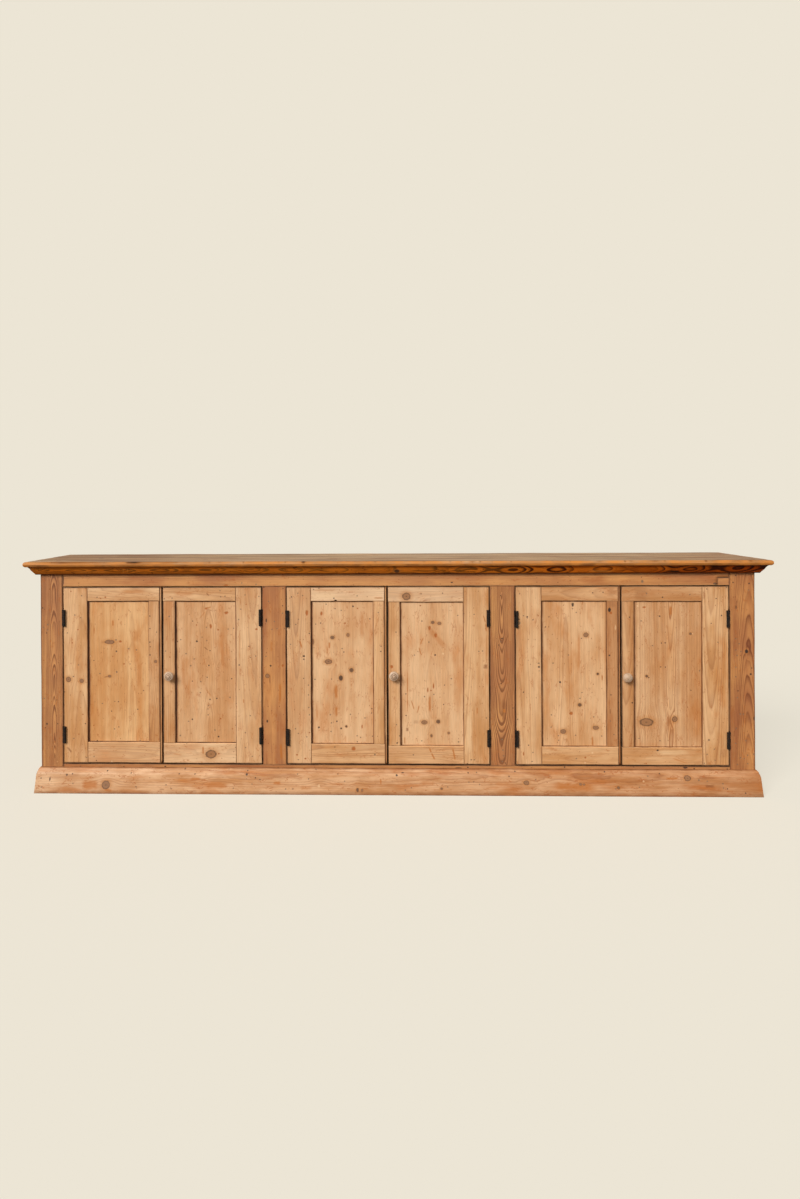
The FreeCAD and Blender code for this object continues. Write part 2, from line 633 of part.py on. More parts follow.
floor_boards = []
shelves = []
bearers = []
door_stops = []
for bay in all_bays:
    left = f"inside_left_{bay}"
    right = f"inside_right_{bay}"
    floor_boards += boards_across(f"floor_{bay}", floor_board_count, (left, right),
                                  ("frame_back", "boards_front"), ("floor_under", "bottom_rail_level"))
    shelves += boards_across(f"shelf_{bay}", shelf_board_count, (left, right),
                             ("shelf_front", "boards_front"), ("shelf_under", "shelf_level"))
    for side, wide in (("left", (left, f"{left} + bearer_thick")),
                       ("right", (f"{right} - bearer_thick", right))):
        bearers.append(box(f"floor_bearer_{bay}_{side}", wide, ("frame_back", "rails_front"),
                           ("floor_under - floor_bearer_height", "floor_under")))
        bearers.append(box(f"shelf_bearer_{bay}_{side}", wide, ("shelf_front", "boards_front"),
                           ("shelf_under - shelf_bearer_height", "shelf_under")))
    strip = box(f"door_stop_{bay}_blank", (left, right), ("frame_back", "frame_back + stop_thick"),
                ("stop_low", "stop_low + stop_height"))
    hole = rod(f"door_stop_{bay}_hole", "bolt_radius + stop_hole_play", f"bolt_middle_{2 * bay - 1}",
               "bolt_line", "stop_low - cut_overrun", "stop_height + 2 * cut_overrun")
    door_stops.append(cut(f"door_stop_{bay}", strip, [hole]))
piece("floor_boards", group("floor_board_set", floor_boards))
piece("shelves", group("shelf_set", shelves))
piece("bearers", group("bearer_set", bearers))
piece("door_stops", group("door_stop_set", door_stops))


# Doors: stiles, rails and a loose panel in grooves
def door(number):
    bay = (number + 1) // 2
    hung_left = number % 2 == 1
    name = f"door_{number}"
    left = f"door_left_{number}"
    right = f"door_right_{number}"
    deep = ("front", "door_back")
    tenon = ("(front + door_back - door_tenon_thick) / 2",
             "(front + door_back + door_tenon_thick) / 2")
    rail_top = f"(door_high - top_rail_{number})"
    rail_bottom = f"(door_low + bottom_rail_{number})"
    if hung_left:
        pane = (f"({left} + hinge_stile_{number})", f"({right} - bead_width - meeting_stile_left)")
        hinge_stile_wide = (left, pane[0])
        meeting_wide = (pane[1], f"({right} - bead_width)")
        rail_wide = (pane[0], meeting_wide[1])
        tenon_wide = (f"{pane[0]} - door_tenon_length", meeting_wide[1])
    else:
        pane = (f"({left} + meeting_stile_right)", f"({right} - hinge_stile_{number})")
        hinge_stile_wide = (pane[1], right)
        meeting_wide = (left, pane[0])
        rail_wide = (left, pane[1])
        tenon_wide = (left, f"{pane[1]} + door_tenon_length")
    panel_deep = ("front + panel_recess", "front + panel_recess + panel_thick")
    tucked = "(groove_depth - panel_play)"
    panel = box(name + "_panel_board", (f"{pane[0]} - {tucked}", f"{pane[1]} + {tucked}"), panel_deep,
                (f"{rail_bottom} - {tucked}", f"{rail_top} + {tucked}"))
    room = box(name + "_panel_room", (f"{pane[0]} - groove_depth", f"{pane[1]} + groove_depth"), panel_deep,
               (f"{rail_bottom} - groove_depth", f"{rail_top} + groove_depth"))
    meeting_tenon = box(name + "_meeting_tenon",
                        (f"{meeting_wide[0]} + door_tenon_shoulder",
                         f"{meeting_wide[1]} - door_tenon_shoulder"), tenon,
                        (f"{rail_bottom} - meeting_tenon_length", f"{rail_top} + meeting_tenon_length"))
    rails = []
    rail_tenons = []
    for end, tall in (("top", (rail_top, "door_high")), ("bottom", ("door_low", rail_bottom))):
        rail_tenon = box(f"{name}_{end}_tenon", tenon_wide, tenon,
                         (f"{tall[0]} + door_tenon_shoulder", f"{tall[1]} - door_tenon_shoulder"))
        board = box(f"{name}_{end}_rail_board", rail_wide, deep, tall)
        blank = fuse(f"{name}_{end}_rail_blank", [board, rail_tenon])
        rails.append(cut(f"{name}_{end}_rail", blank, [room, meeting_tenon]))
        rail_tenons.append(rail_tenon)
    hinge_blank = box(name + "_hinge_stile_blank", hinge_stile_wide, deep, ("door_low", "door_high"))
    hinge_stile = cut(name + "_hinge_stile", hinge_blank, [room] + rail_tenons + door_plates[number])
    meeting_board = box(name + "_meeting_board", meeting_wide, deep, (rail_bottom, rail_top))
    meeting_blank = fuse(name + "_meeting_blank", [meeting_board, meeting_tenon])
    meeting_tools = [room]
    stiles = [hinge_stile]
    if hung_left:
        nose_middle = "front + bead_width / 2"
        nose = rod(name + "_bead_nose", "bead_width / 2", f"{right} - bead_width / 2", nose_middle,
                   "door_low", "door_high - door_low")
        strip = box(name + "_bead_strip", (f"{right} - bead_width", right), (nose_middle, "door_back"),
                    ("door_low", "door_high"))
        stiles.append(fuse(name + "_bead", [strip, nose]))
    else:
        spindle_hole = rod(name + "_spindle_hole", "spindle_radius + spindle_play", f"knob_line_{number}",
                           "front - cut_overrun", f"knob_level_{number}", "door_thick + 2 * cut_overrun",
                           (0, 1, 0))
        meeting_tools.append(spindle_hole)
    stiles.append(cut(name + "_meeting_stile", meeting_blank, meeting_tools))
    piece(name + "_stiles", group(name + "_stile_set", stiles))
    piece(name + "_rails", group(name + "_rail_set", rails))
    piece(name + "_panel", panel)
    piece(name + "_hinge_leaves", group(name + "_leaf_set", door_leaves[number]))


for number in all_doors:
    door(number)

# Knobs, turned with their spindles, and the latch tongues behind the doors
knob_path = [
    ("0", "spindle_back"),
    ("spindle_radius", "spindle_back"),
    ("spindle_radius", "0 - latch_play"),
    ("knob_foot_radius", "0 - latch_play"),
    ("knob_foot_radius", "0 - knob_foot_thick"),
    ("knob_neck_radius", "0 - (knob_foot_thick + knob_neck_end) / 2", "soft_round_share", "right"),
    ("knob_neck_radius", "0 - knob_neck_end"),
    ("knob_radius", "0 - knob_rim_start", "soft_round_share", "right"),
    ("knob_radius", "0 - knob_rim_end"),
    ("knob_boss_radius", "knob_boss_length - knob_length", "soft_round_share", "left"),
    ("knob_boss_radius - knob_boss_round", "0 - knob_length", "soft_round_share", "left"),
    ("0", "0 - knob_length"),
]
for number in right_doors:
    label = f"knob_{number}"
    knob = doc.addObject("PartDesign::Body", label)
    turned = knob.newObject("PartDesign::Revolution", label + "_turning")
    turned.Profile = outline(knob, label + "_profile", "XY_Plane", knob_path)
    turned.ReferenceAxis = (turned.Profile[0], ["V_Axis"])
    turned.Angle = 360
    level = f"knob_level_{number}"
    middle = f"knob_line_{number}"
    piece(label, place(knob, middle, "front", level))
    tongue_back = "door_back + latch_play"
    name = f"tongue_{number}"
    arm = box(name + "_arm", (f"{middle} - tongue_width / 2", f"{middle} + tongue_width / 2"),
              (tongue_back, f"{tongue_back} + tongue_thick"), (f"{level} - tongue_length", level))
    head = rod(name + "_head", "tongue_width / 2", middle, tongue_back, level, "tongue_thick", (0, 1, 0))
    hole = rod(name + "_hole", "spindle_radius + spindle_play", middle,
               f"{tongue_back} - cut_overrun", level, "tongue_thick + 2 * cut_overrun", (0, 1, 0))
    piece(name, cut(name + "_cut", fuse(name + "_blank", [arm, head]), [hole]))

# Sliding bolts on the backs of the left doors
for number in left_doors:
    middle = f"bolt_middle_{number}"
    name = f"bolt_{number}"
    plate_back = "door_back + bolt_plate_thick"
    plate_wide = (f"{middle} - bolt_plate_width / 2", f"{middle} + bolt_plate_width / 2")
    plate = box(name + "_plate_blank", plate_wide, ("door_back", plate_back), ("plate_low", "plate_high"))
    across = (f"{middle} - bolt_radius - staple_wall", f"{middle} + bolt_radius + staple_wall")
    over = (plate_back, "bolt_line + bolt_radius + staple_wall")
    lower = box(name + "_lower_staple", across, over,
                ("plate_low + staple_inset", "plate_low + staple_inset + staple_height"))
    upper = box(name + "_upper_staple", across, over,
                ("plate_high - staple_inset - staple_height", "plate_high - staple_inset"))
    bore = rod(name + "_bore", "bolt_radius + bolt_play", middle, "bolt_line", "plate_low",
               "bolt_plate_height")
    plate_whole = fuse(name + "_plate_whole", [plate, lower, upper])
    piece(name + "_plate", cut(name + "_plate_cut", plate_whole, [bore]))
    bar = rod(name + "_bar", "bolt_radius", middle, "bolt_line", "bolt_top - bolt_length", "bolt_length")
    peg = rod(name + "_peg", "bolt_thumb_radius", middle, "bolt_line", "plate_low + bolt_thumb_rise",
              "bolt_thumb_length", (0, 1, 0))
    piece(name, fuse(name + "_whole", [bar, peg]))

# Check everything, then write each sub-part
doc.recompute()
for item in doc.Objects:
    if "Invalid" in item.State or "Error" in item.State:
        raise RuntimeError(f"{item.Name} failed: {item.State}")
for item in pieces:
    if item.Shape.isNull() or not item.Shape.isValid():
        raise RuntimeError(f"{item.Label} has a bad shape")
for item in pieces:
    item.Shape.exportStep(f"parts/{item.Label}.step")
whole = FreeCAD.BoundBox()
for item in pieces:
    whole.add(item.Shape.BoundBox)
print(len(pieces), "sub-parts,", sum(len(item.Shape.Solids) for item in pieces), "solids")
print("overall", round(whole.XLength, 1), "by", round(whole.YLength, 1), "by", round(whole.ZLength, 1), "mm")
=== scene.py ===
# An old waxed pine sideboard cupboard: three bays, six framed doors, three turned knobs.
# Metres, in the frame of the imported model: the front faces -Y and the floor is at Z 0.

import functools
import math
import zlib
import bpy
import bmesh
import numpy as np
from mathutils import Matrix, Vector


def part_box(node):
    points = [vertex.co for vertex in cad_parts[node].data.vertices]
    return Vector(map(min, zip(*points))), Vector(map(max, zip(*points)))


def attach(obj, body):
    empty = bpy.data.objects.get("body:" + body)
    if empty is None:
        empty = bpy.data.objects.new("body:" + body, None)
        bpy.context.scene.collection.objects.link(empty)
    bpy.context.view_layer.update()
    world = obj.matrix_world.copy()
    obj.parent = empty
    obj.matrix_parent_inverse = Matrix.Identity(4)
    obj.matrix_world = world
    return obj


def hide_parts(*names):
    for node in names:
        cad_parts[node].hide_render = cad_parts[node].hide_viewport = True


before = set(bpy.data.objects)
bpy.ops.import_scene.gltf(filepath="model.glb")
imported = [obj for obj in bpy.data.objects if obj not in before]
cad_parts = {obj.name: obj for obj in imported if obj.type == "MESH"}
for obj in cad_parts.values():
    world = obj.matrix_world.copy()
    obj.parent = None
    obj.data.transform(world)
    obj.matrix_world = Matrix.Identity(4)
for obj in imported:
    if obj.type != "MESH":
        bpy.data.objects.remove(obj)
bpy.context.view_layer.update()        # nodes of the imported model, placed in the world
scene = bpy.context.scene
print("frame loaded:", len(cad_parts), "nodes")

# Camera
photo = {
    "width": 800, "height": 1199,                  # pixels
    "focal": 951.25,                               # pixels
    "axisX": 341.30, "axisY": 505.83,              # where the optical axis meets the picture, pixels
    "place": (-0.0700, -3.9012, 1.1207),           # metres
    "yaw": -0.03478, "pitch": 0.00251, "roll": 0.00511,
    "sensor": 36.0,                                # millimetres along the long side
}
camYaw, camPitch, camRoll = photo["yaw"], photo["pitch"], photo["roll"]
ahead = Vector((math.sin(camYaw) * math.cos(camPitch), math.cos(camYaw) * math.cos(camPitch),
                -math.sin(camPitch)))
level = Vector((math.cos(camYaw), -math.sin(camYaw), 0))
plumb = ahead.cross(level)
camRight = level * math.cos(camRoll) + plumb * math.sin(camRoll)
camDown = plumb * math.cos(camRoll) - level * math.sin(camRoll)
camera = bpy.data.objects.new("camera", bpy.data.cameras.new("camera"))
scene.collection.objects.link(camera)
scene.camera = camera
turned = Matrix((camRight, -camDown, -ahead)).transposed()
camera.matrix_world = Matrix.Translation(photo["place"]) @ turned.to_4x4()
camera.data.sensor_width = photo["sensor"]
camera.data.lens = photo["sensor"] * photo["focal"] / photo["height"]
camera.data.shift_x = (photo["width"] / 2 - photo["axisX"]) / photo["height"]
camera.data.shift_y = (photo["axisY"] - photo["height"] / 2) / photo["height"]
camera.data.clip_end = 500


# Where a pixel of the photograph falls on a flat face of the piece, axis 1 for a front and 2 for the top
def onFace(pixelX, pixelY, axis, place):
    ray = ahead + camRight * (pixelX - photo["axisX"]) / photo["focal"]
    ray += camDown * (pixelY - photo["axisY"]) / photo["focal"]
    start = Vector(photo["place"])
    return start + ray * (place - start[axis]) / ray[axis]


# Floor and light
studio = {
    "paper": "#ECE5D5",
    "bounce": "#6E6A62",           # the floor as other surfaces see it
    "glow": 0.80, "shade": 0.24,   # how much of the floor's paleness is its own, and how much the lamps'
    "floorSize": 400.0,
    "sky": "#FFFFFF", "skyStrength": 0.30,
    "keyFrom": (-0.45, -0.75, 0.49), "keyStrength": 3.12, "keySoft": 26.0,
    "fillFrom": (0.3, -0.9, 0.3), "fillStrength": 0.45, "fillSoft": 60.0,
}


def linear(hexColour, alpha=1.0):
    parts = [int(hexColour[i:i + 2], 16) / 255 for i in (1, 3, 5)]
    return [c / 12.92 if c <= 0.04045 else ((c + 0.055) / 1.055) ** 2.4 for c in parts] + [alpha]


# Adds a node with its settings and links. Inputs come in the order of the node's open sockets, or by name,
# each a number, a colour, a socket, or a node whose first open output is meant.
def addNode(tree, kind, inputs=(), stops=(), **settings):
    node = tree.nodes.new("ShaderNode" + kind)
    for name, setting in settings.items():
        setattr(node, name, setting)
    named = isinstance(inputs, dict)
    openSockets = [socket for socket in node.inputs if socket.enabled]
    sockets = [node.inputs[name] for name in inputs] if named else openSockets
    for socket, given in zip(sockets, inputs.values() if named else inputs):
        if isinstance(given, bpy.types.Node):
            given = next(output for output in given.outputs if output.enabled)
        if isinstance(given, bpy.types.NodeSocket):
            tree.links.new(given, socket)
        else:
            socket.default_value = given
    for number, (place, colour) in enumerate(stops):
        elements = node.color_ramp.elements
        element = elements[number] if number < 2 else elements.new(place)
        element.position, element.color = place, colour
    return node


def blankMaterial(name):
    material = bpy.data.materials.new(name)
    material.use_nodes = True
    material.node_tree.nodes.clear()
    return material, material.node_tree


# 1 where the camera or a mirror looks straight at a surface, 0 where light only bounces off it
def seenStraight(tree):
    path = addNode(tree, "LightPath").outputs
    seen = addNode(tree, "Math", [path["Is Camera Ray"], path["Is Glossy Ray"]], operation="MAXIMUM")
    return addNode(tree, "Math", [seen, path["Is Transmission Ray"]], operation="MAXIMUM")


world = bpy.data.worlds.new("studio")
scene.world = world
world.use_nodes = True
tree = world.node_tree
tree.nodes.clear()
seen = seenStraight(tree)
sky = addNode(tree, "Background", [linear(studio["sky"]), studio["skyStrength"]])
paper = addNode(tree, "Background", [linear(studio["paper"]), 1.0])
addNode(tree, "OutputWorld", [addNode(tree, "MixShader", [seen, sky, paper])])

for lampName in ("key", "fill"):
    lamp = bpy.data.objects.new(lampName, bpy.data.lights.new(lampName, "SUN"))
    lamp.data.energy = studio[lampName + "Strength"]
    lamp.data.angle = math.radians(studio[lampName + "Soft"])
    lamp.rotation_euler = Vector(studio[lampName + "From"]).to_track_quat("Z", "Y").to_euler()
    scene.collection.objects.link(lamp)

floorPaper, tree = blankMaterial("backdrop_paper")
seen = seenStraight(tree)
shaded = [studio["shade"] * part for part in linear(studio["paper"])[:3]] + [1]
colour = addNode(tree, "Mix", [seen, linear(studio["bounce"]), shaded], data_type="RGBA")
glow = addNode(tree, "Math", [seen, studio["glow"]], operation="MULTIPLY")
glow = addNode(tree, "Emission", {"Color": linear(studio["paper"]), "Strength": glow})
whole = addNode(tree, "AddShader", [addNode(tree, "BsdfDiffuse", {"Color": colour}), glow])
addNode(tree, "OutputMaterial", [whole])
half = studio["floorSize"] / 2
floorMesh = bpy.data.meshes.new("floor")
corners = [(-half, -half, 0), (half, -half, 0), (half, half, 0), (-half, half, 0)]
floorMesh.from_pydata(corners, [], [(0, 1, 2, 3)])
floorMesh.materials.append(floorPaper)
floor = bpy.data.objects.new("floor", floorMesh)
scene.collection.objects.link(floor)
scene.view_settings.view_transform = "Standard"
print("camera, light and floor made")

# Old pine, planed by hand and waxed: growth rings are cylinders round the tree's heart, so a board's face
# shows cathedral figure or straight lines, and its end shows arcs, from where it lay in the log.
# Each board's mesh carries its place in the log ("grain"), its ring width, contrast and tint ("board"),
# its dirt with painted shade and its wear with painted highlights ("age"), and its nearest knot, streak and
# speck.
pineBase = {
    # The brown and the black of the dirt are also the painted shade of joints, recesses and gaps, and the worn
    # colour is also a painted highlight on the arrises
    "early": "#DFB07F", "earlyDeep": "#C48B54", "late": "#8E5022", "warm": "#BE7029", "grimeEdge": "#6B3A12",
    "dirt": "#22100A", "worn": "#EDB67E", "darker": "#CBAA89", "bleached": "#F1DABA", "fleck": "#8E5226",
    "knotRim": "#3E2010", "knotRing": "#A06C40", "knotGrey": "#80604A", "knotBlack": "#2A160C",
    "halo": "#B87436", "resin": "#B0641F", "crack": "#24120A", "stain": "#7A431C", "pale": "#EBC596",
    "dent": "#7B6044", "orange": "#A4571B",
    "warmth": 0.50, "flecks": 0.85, "curls": 0.50, "fibres": (0.86, 1.105), "rough": (0.42, 0.60), "gloss": 0.4,
    "dirtRough": 0.25,
    "patterns": {                                    # size along the grain and across it, mm, and octaves
        "band": (1250, 42, 3), "cloud": (200, 95, 3), "patch": (160, 60, 4), "fibre": (62, 1.2, 2),
        "wander": (660, 110, 2), "tremble": (90, 14, 2), "ragged": (6, 6, 2), "smear": (25, 8, 3),
        "grime": (55, 17, 3), "rub": (70, 25, 3), "curl": (46, 15, 2),
    },
    "fleckSize": (16, 9),                            # one fleck or none in each such cell, mm
    # Where each pattern begins to show and where it shows in full, then the least and the most of it
    "show": {
        "cloud": (0.37, 0.63), "warm": (0.50, 0.74, 0.0), "vivid": (0.30, 0.68, 0.25, 1.0), "fibre": (0.3, 0.7),
        "curl": (0.030, 0.004), "curled": (0.48, 0.62, 0.0), "chance": (0.70, 0.95), "fleck": (0.24, 0.06),
        "streakEnd": (1.0, 0.45), "streakSide": (1.55, 0.8), "knot": (1.05, 0.75), "speck": (1.25, 0.55),
        "grime": (0.25, 0.7, 0.65, 1.25), "brownDirt": (0.0, 0.55), "blackDirt": (0.35, 0.95),
        "rub": (0.35, 0.62, 0.35, 1.1), "rough": (0.3, 0.7),
    },
    "ragged": {"streak": 1.1, "knot": 0.5, "speck": 0.6},
    # Rings: how far they stray in mm, how they crowd, and the share of dark late wood across one of them
    "wander": 6.0, "tremble": 0.6, "crowding": 2.2, "crowdEvery": 0.21, "vividEvery": 0.33,
    "ring": ((0.0, 0.25), (0.06, 0.0), (0.45, 0.06), (0.80, 0.62), (0.93, 1.0), (1.0, 0.35)),
    "swerve": {"soft": 0.4, "beside": -0.42, "along": -0.11, "deep": 0.6},      # of the rings round a knot
    # A knot's colour and cover from its middle outward, in 2.5 half sizes, and its rings in radians
    "knot": ((0.0, "knotRim", 1.0), (0.08, "knotRing", 1.0), (0.28, "knotRing", 0.95), (0.37, "knotRim", 0.90),
             (0.46, "halo", 0.45), (0.85, "halo", 0.0)),
    "knotSpan": 2.5, "knotTurns": 24.0, "knotShade": (0.10, 0.94),
    # Tones of a knot: 0 is brown, 5 grey, 9 black, and 10 hides it. Tone from and to, and cover.
    "knotTones": (("knotGrey", 0.5, 5, 0.50), ("knotBlack", 5, 9, 1.0)), "knotHidden": 9.5,
    # Colour and cover by kind: 1 resin, 2 crack, 3 stain, 4 rubbed pale, 5 faint resin, 6 faint stain
    "streaks": (("resin", 0.0), ("resin", 0.75), ("crack", 0.95), ("stain", 0.60), ("pale", 0.40),
                ("resin", 0.42), ("stain", 0.25)),
    # Colour by kind: 0 a dark hole, 1 orange, 2 a grey dent, 3 a pale chip
    "specks": (("crack", 1.0), ("orange", 1.0), ("dent", 1.0), ("pale", 1.0)),
    "relief": {"late": 0.16, "fibre": 0.18, "speck": -0.9, "fleck": -0.2, "streak": -0.2},     # mm
}


def pineFinish(name, **changes):
    look = dict(pineBase, **changes)
    show, bend, ragged, relief = look["show"], look["swerve"], look["ragged"], look["relief"]
    material, tree = blankMaterial(name)
    add = functools.partial(addNode, tree)
    mix = functools.partial(add, "Mix", data_type="RGBA")
    ease = functools.partial(add, "MapRange", interpolation_type="SMOOTHSTEP")
    times = functools.partial(add, "Math", operation="MULTIPLY")
    timesPlus = functools.partial(add, "Math", operation="MULTIPLY_ADD")
    minus = functools.partial(add, "Math", operation="SUBTRACT")

    def over(wood, amount, colour, **settings):
        return mix([amount, wood, linear(look[colour])], **settings)

    def absolute(number):
        return add("Math", [number], operation="ABSOLUTE")

    def byKind(number, looks):
        stops = [(kind / 10, linear(look[colour], cover)) for kind, (colour, cover) in enumerate(looks)]
        return add("ValToRGB", [times([number, 0.1])], stops=stops)

    grain = add("Attribute", attribute_name="grain").outputs["Vector"]
    heart, board, age, knot, streak, speck = (
        add("SeparateXYZ", [add("Attribute", attribute_name=layer).outputs["Vector"]]).outputs
        for layer in ("grain", "board", "age", "knot", "streak", "speck"))
    noise = {}
    for pattern, (along, across, octaves) in dict(pineBase["patterns"], **look["patterns"]).items():
        place = add("VectorMath", [grain, (1000 / along, 1000 / across, 1000 / across)], operation="MULTIPLY")
        noise[pattern] = add("TexNoise", {"Vector": place, "Scale": 1.0, "Detail": octaves, "Roughness": 0.58})

    # Rings, which swerve round a knot
    knotRadius = add("Math", [knot[2]], operation="FRACT")
    swerve = add("Math", [timesPlus([knot[1], knot[1], bend["soft"]])], operation="SQRT")
    swerve = times([add("Math", [knot[1], swerve], operation="DIVIDE"), knotRadius])
    fade = timesPlus([times([knot[0], knot[0]]), bend["along"], times([absolute(knot[1]), bend["beside"]])])
    swerve = times([swerve, add("Math", [fade], operation="EXPONENT")])
    across = minus([heart[1], swerve])
    deep = timesPlus([absolute(swerve), bend["deep"], heart[2]])
    radius = add("Math", [timesPlus([across, across, times([deep, deep])])], operation="SQRT")
    for pattern in ("wander", "tremble"):
        stray = look[pattern] / 1000
        radius = add("Math", [radius, timesPlus([noise[pattern], 2 * stray, -stray])], operation="ADD")
    rings = add("Math", [radius, board[0]], operation="DIVIDE")
    crowd = {"W": times([rings, look["crowdEvery"]]), "Scale": 1.0, "Detail": 1.0}
    rings = timesPlus([add("TexNoise", crowd, noise_dimensions="1D"), look["crowding"], rings])
    vivid = {"W": times([rings, look["vividEvery"]]), "Scale": 1.0, "Detail": 2.0}
    vivid = ease([add("TexNoise", vivid, noise_dimensions="1D"), *show["vivid"]])
    late = add("ValToRGB", [add("Math", [rings], operation="FRACT")],
               stops=[(place, (grey, grey, grey, 1)) for place, grey in look["ring"]])
    late = times([times([late, vivid]), board[1]], use_clamp=True)

    # Colour: broad bands and clouds, warm patches of old wax, then each ring's dark late wood, and the fibre
    tone = add("Mix", [0.5, noise["band"], noise["cloud"]], data_type="FLOAT")
    wood = mix([ease([tone, *show["cloud"]]), linear(look["early"]), linear(look["earlyDeep"])])
    wood = over(wood, ease([noise["patch"], *show["warm"], look["warmth"]]), "warm")
    wood = over(wood, late, "late")
    fibre = add("MapRange", [noise["fibre"], *show["fibre"], *look["fibres"]])
    wood = mix([1.0, wood, add("CombineColor", [fibre, fibre, fibre])], blend_type="MULTIPLY")
    wood = over(wood, times([board[2], -1.0], use_clamp=True), "darker", blend_type="MULTIPLY")
    wood = over(wood, times([board[2], 1.0], use_clamp=True), "bleached")

    # Thin orange curls where the wax has caught, in some places only
    curl = ease([absolute(minus([noise["curl"], 0.5])), *show["curl"]])
    wood = over(wood, times([curl, ease([noise["rub"], *show["curled"], look["curls"]])]), "orange")

    # Short flecks and dents along the grain, in some of the cells
    along, across = look["fleckSize"]
    cells = add("VectorMath", [grain, (1000 / along, 1000 / across, 1000 / across)], operation="MULTIPLY")
    cells = add("TexVoronoi", {"Vector": cells, "Scale": 1.0}).outputs
    chance = add("MapRange", [add("SeparateColor", [cells["Color"]]).outputs[0], *show["chance"]])
    fleck = times([ease([cells["Distance"], *show["fleck"]]), chance])
    wood = over(wood, times([fleck, look["flecks"]]), "fleck")

    # Streaks
    alongStreak = ease([absolute(streak[0]), *show["streakEnd"]])
    besideStreak = timesPlus([noise["smear"], ragged["streak"], absolute(streak[1])])
    streakLook = byKind(streak[2], look["streaks"]).outputs
    onStreak = times([alongStreak, ease([besideStreak, *show["streakSide"]])])
    onStreak = times([onStreak, streakLook["Alpha"]])
    wood = mix([onStreak, wood, streakLook["Color"]])

    # Knots: rings within a dark rim, and a warm halo
    reach = []
    for spot, uneven in ((knot, ragged["knot"]), (speck, ragged["speck"])):
        length = add("VectorMath", [add("CombineXYZ", [spot[0], spot[1]])], operation="LENGTH")
        reach.append(minus([timesPlus([noise["ragged"], uneven, length]), uneven / 2]))
    stops = [(place, linear(look[colour], cover)) for place, colour, cover in look["knot"]]
    knotLook = add("ValToRGB", [times([reach[0], 1 / look["knotSpan"]])], stops=stops).outputs
    turns = add("Math", [times([reach[0], look["knotTurns"]])], operation="SINE")
    turns = timesPlus([turns, *look["knotShade"]])
    turns = add("CombineColor", [turns, turns, turns])
    knotColour = mix([1.0, knotLook["Color"], turns], blend_type="MULTIPLY")
    inside = ease([reach[0], *show["knot"]])
    knotTone = minus([knot[2], knotRadius])
    for colour, start, end, cover in look["knotTones"]:
        amount = add("MapRange", [knotTone, start, end, 0.0, cover])
        knotColour = over(knotColour, times([amount, inside]), colour)
    shown = add("Math", [knotTone, look["knotHidden"]], operation="LESS_THAN")
    wood = mix([times([shown, knotLook["Alpha"]]), wood, knotColour])

    # Specks
    strength = add("Math", [speck[2]], operation="FRACT")
    onSpeck = times([ease([reach[1], *show["speck"]]), strength])
    wood = mix([onSpeck, wood, byKind(minus([speck[2], strength]), look["specks"])])

    # Dirt and painted shade in the joints, recesses and gaps, and wear with painted highlights on the arrises
    dirtAndShadeMask = times([add("MapRange", [noise["grime"], *show["grime"]]), age[0]], use_clamp=True)
    wood = over(wood, ease([dirtAndShadeMask, *show["brownDirt"]]), "grimeEdge")
    wood = over(wood, ease([dirtAndShadeMask, *show["blackDirt"]]), "dirt")
    wearAndHighlightMask = times([add("MapRange", [noise["rub"], *show["rub"]]), age[1]], use_clamp=True)
    wood = over(wood, wearAndHighlightMask, "worn")

    # Relief: raised late wood and open fibre, sunken marks; the deeper tones are the duller
    height = times([late, relief["late"] / 1000])
    for part, kind in ((noise["fibre"], "fibre"), (onSpeck, "speck"), (fleck, "fleck"), (onStreak, "streak")):
        height = timesPlus([part, relief[kind] / 1000, height])
    bump = add("Bump", {"Height": height, "Distance": 1.0, "Strength": 0.8})
    rough = add("MapRange", [tone, *show["rough"], *look["rough"]])
    rough = timesPlus([dirtAndShadeMask, look["dirtRough"], rough], use_clamp=True)
    skin = add("BsdfPrincipled", {"Base Color": wood, "Roughness": rough, "Normal": bump,
                                  "IOR": 1.46, "Specular IOR Level": look["gloss"]})
    add("OutputMaterial", [skin])
    return material


# Doors: honey-coloured waxed pine, with orange clouds in the wax, dark specks and a low sheen
pineDoor = pineFinish("waxed_pine_doors")
# Panels: the same, a little paler
pinePanel = pineFinish("waxed_pine_panels", early="#DFB182", earlyDeep="#C8905C", flecks=0.85)
# The first panel is yellower
pinePanelHoney = pineFinish("honey_waxed_pine_panel", early="#E0AF79", earlyDeep="#C98E54", flecks=0.85,
                            warmth=0.6)
# Face frame and ends: redder and darker than the doors, with strong dark rings
pineFrame = pineFinish("waxed_pine_frame", early="#CC8E52", earlyDeep="#A3653A", bleached="#E2A869",
                       late="#662C0E", warm="#9E521D", curls=0.6, worn="#E0A066", warmth=0.5,
                       fleck="#6E3413", pale="#D09A62", grimeEdge="#5A2A0C", dirt="#1C0C06")
# Plinth: pale curly pine with strong orange swirls
pinePlinth = pineFinish("waxed_pine_plinth", early="#DDAD80", earlyDeep="#BE8450", warm="#BB6D28", warmth=0.8,
                        flecks=0.9, tremble=1.4, curls=0.7,
                        patterns={"band": (330, 38, 3), "cloud": (110, 33, 3), "patch": (200, 45, 4),
                                  "tremble": (45, 11, 2)})
# Moulding: red-brown old wax with flames of orange early wood in it
pineMoulding = pineFinish("dark_waxed_pine_moulding", early="#DE761B", earlyDeep="#B5570E", late="#451B05",
                          warm="#CC7420", worn="#C8742A", pale="#D88A3C", bleached="#F39A36", orange="#4A1E06",
                          curls=0.8, warmth=0.7, rough=(0.40, 0.55), gloss=0.05, fleck="#3E1804",
                          grimeEdge="#4A1E04", dirt="#1E0B03", fibres=(0.85, 1.1),
                          patterns={"patch": (110, 25, 4), "cloud": (90, 30, 3)})
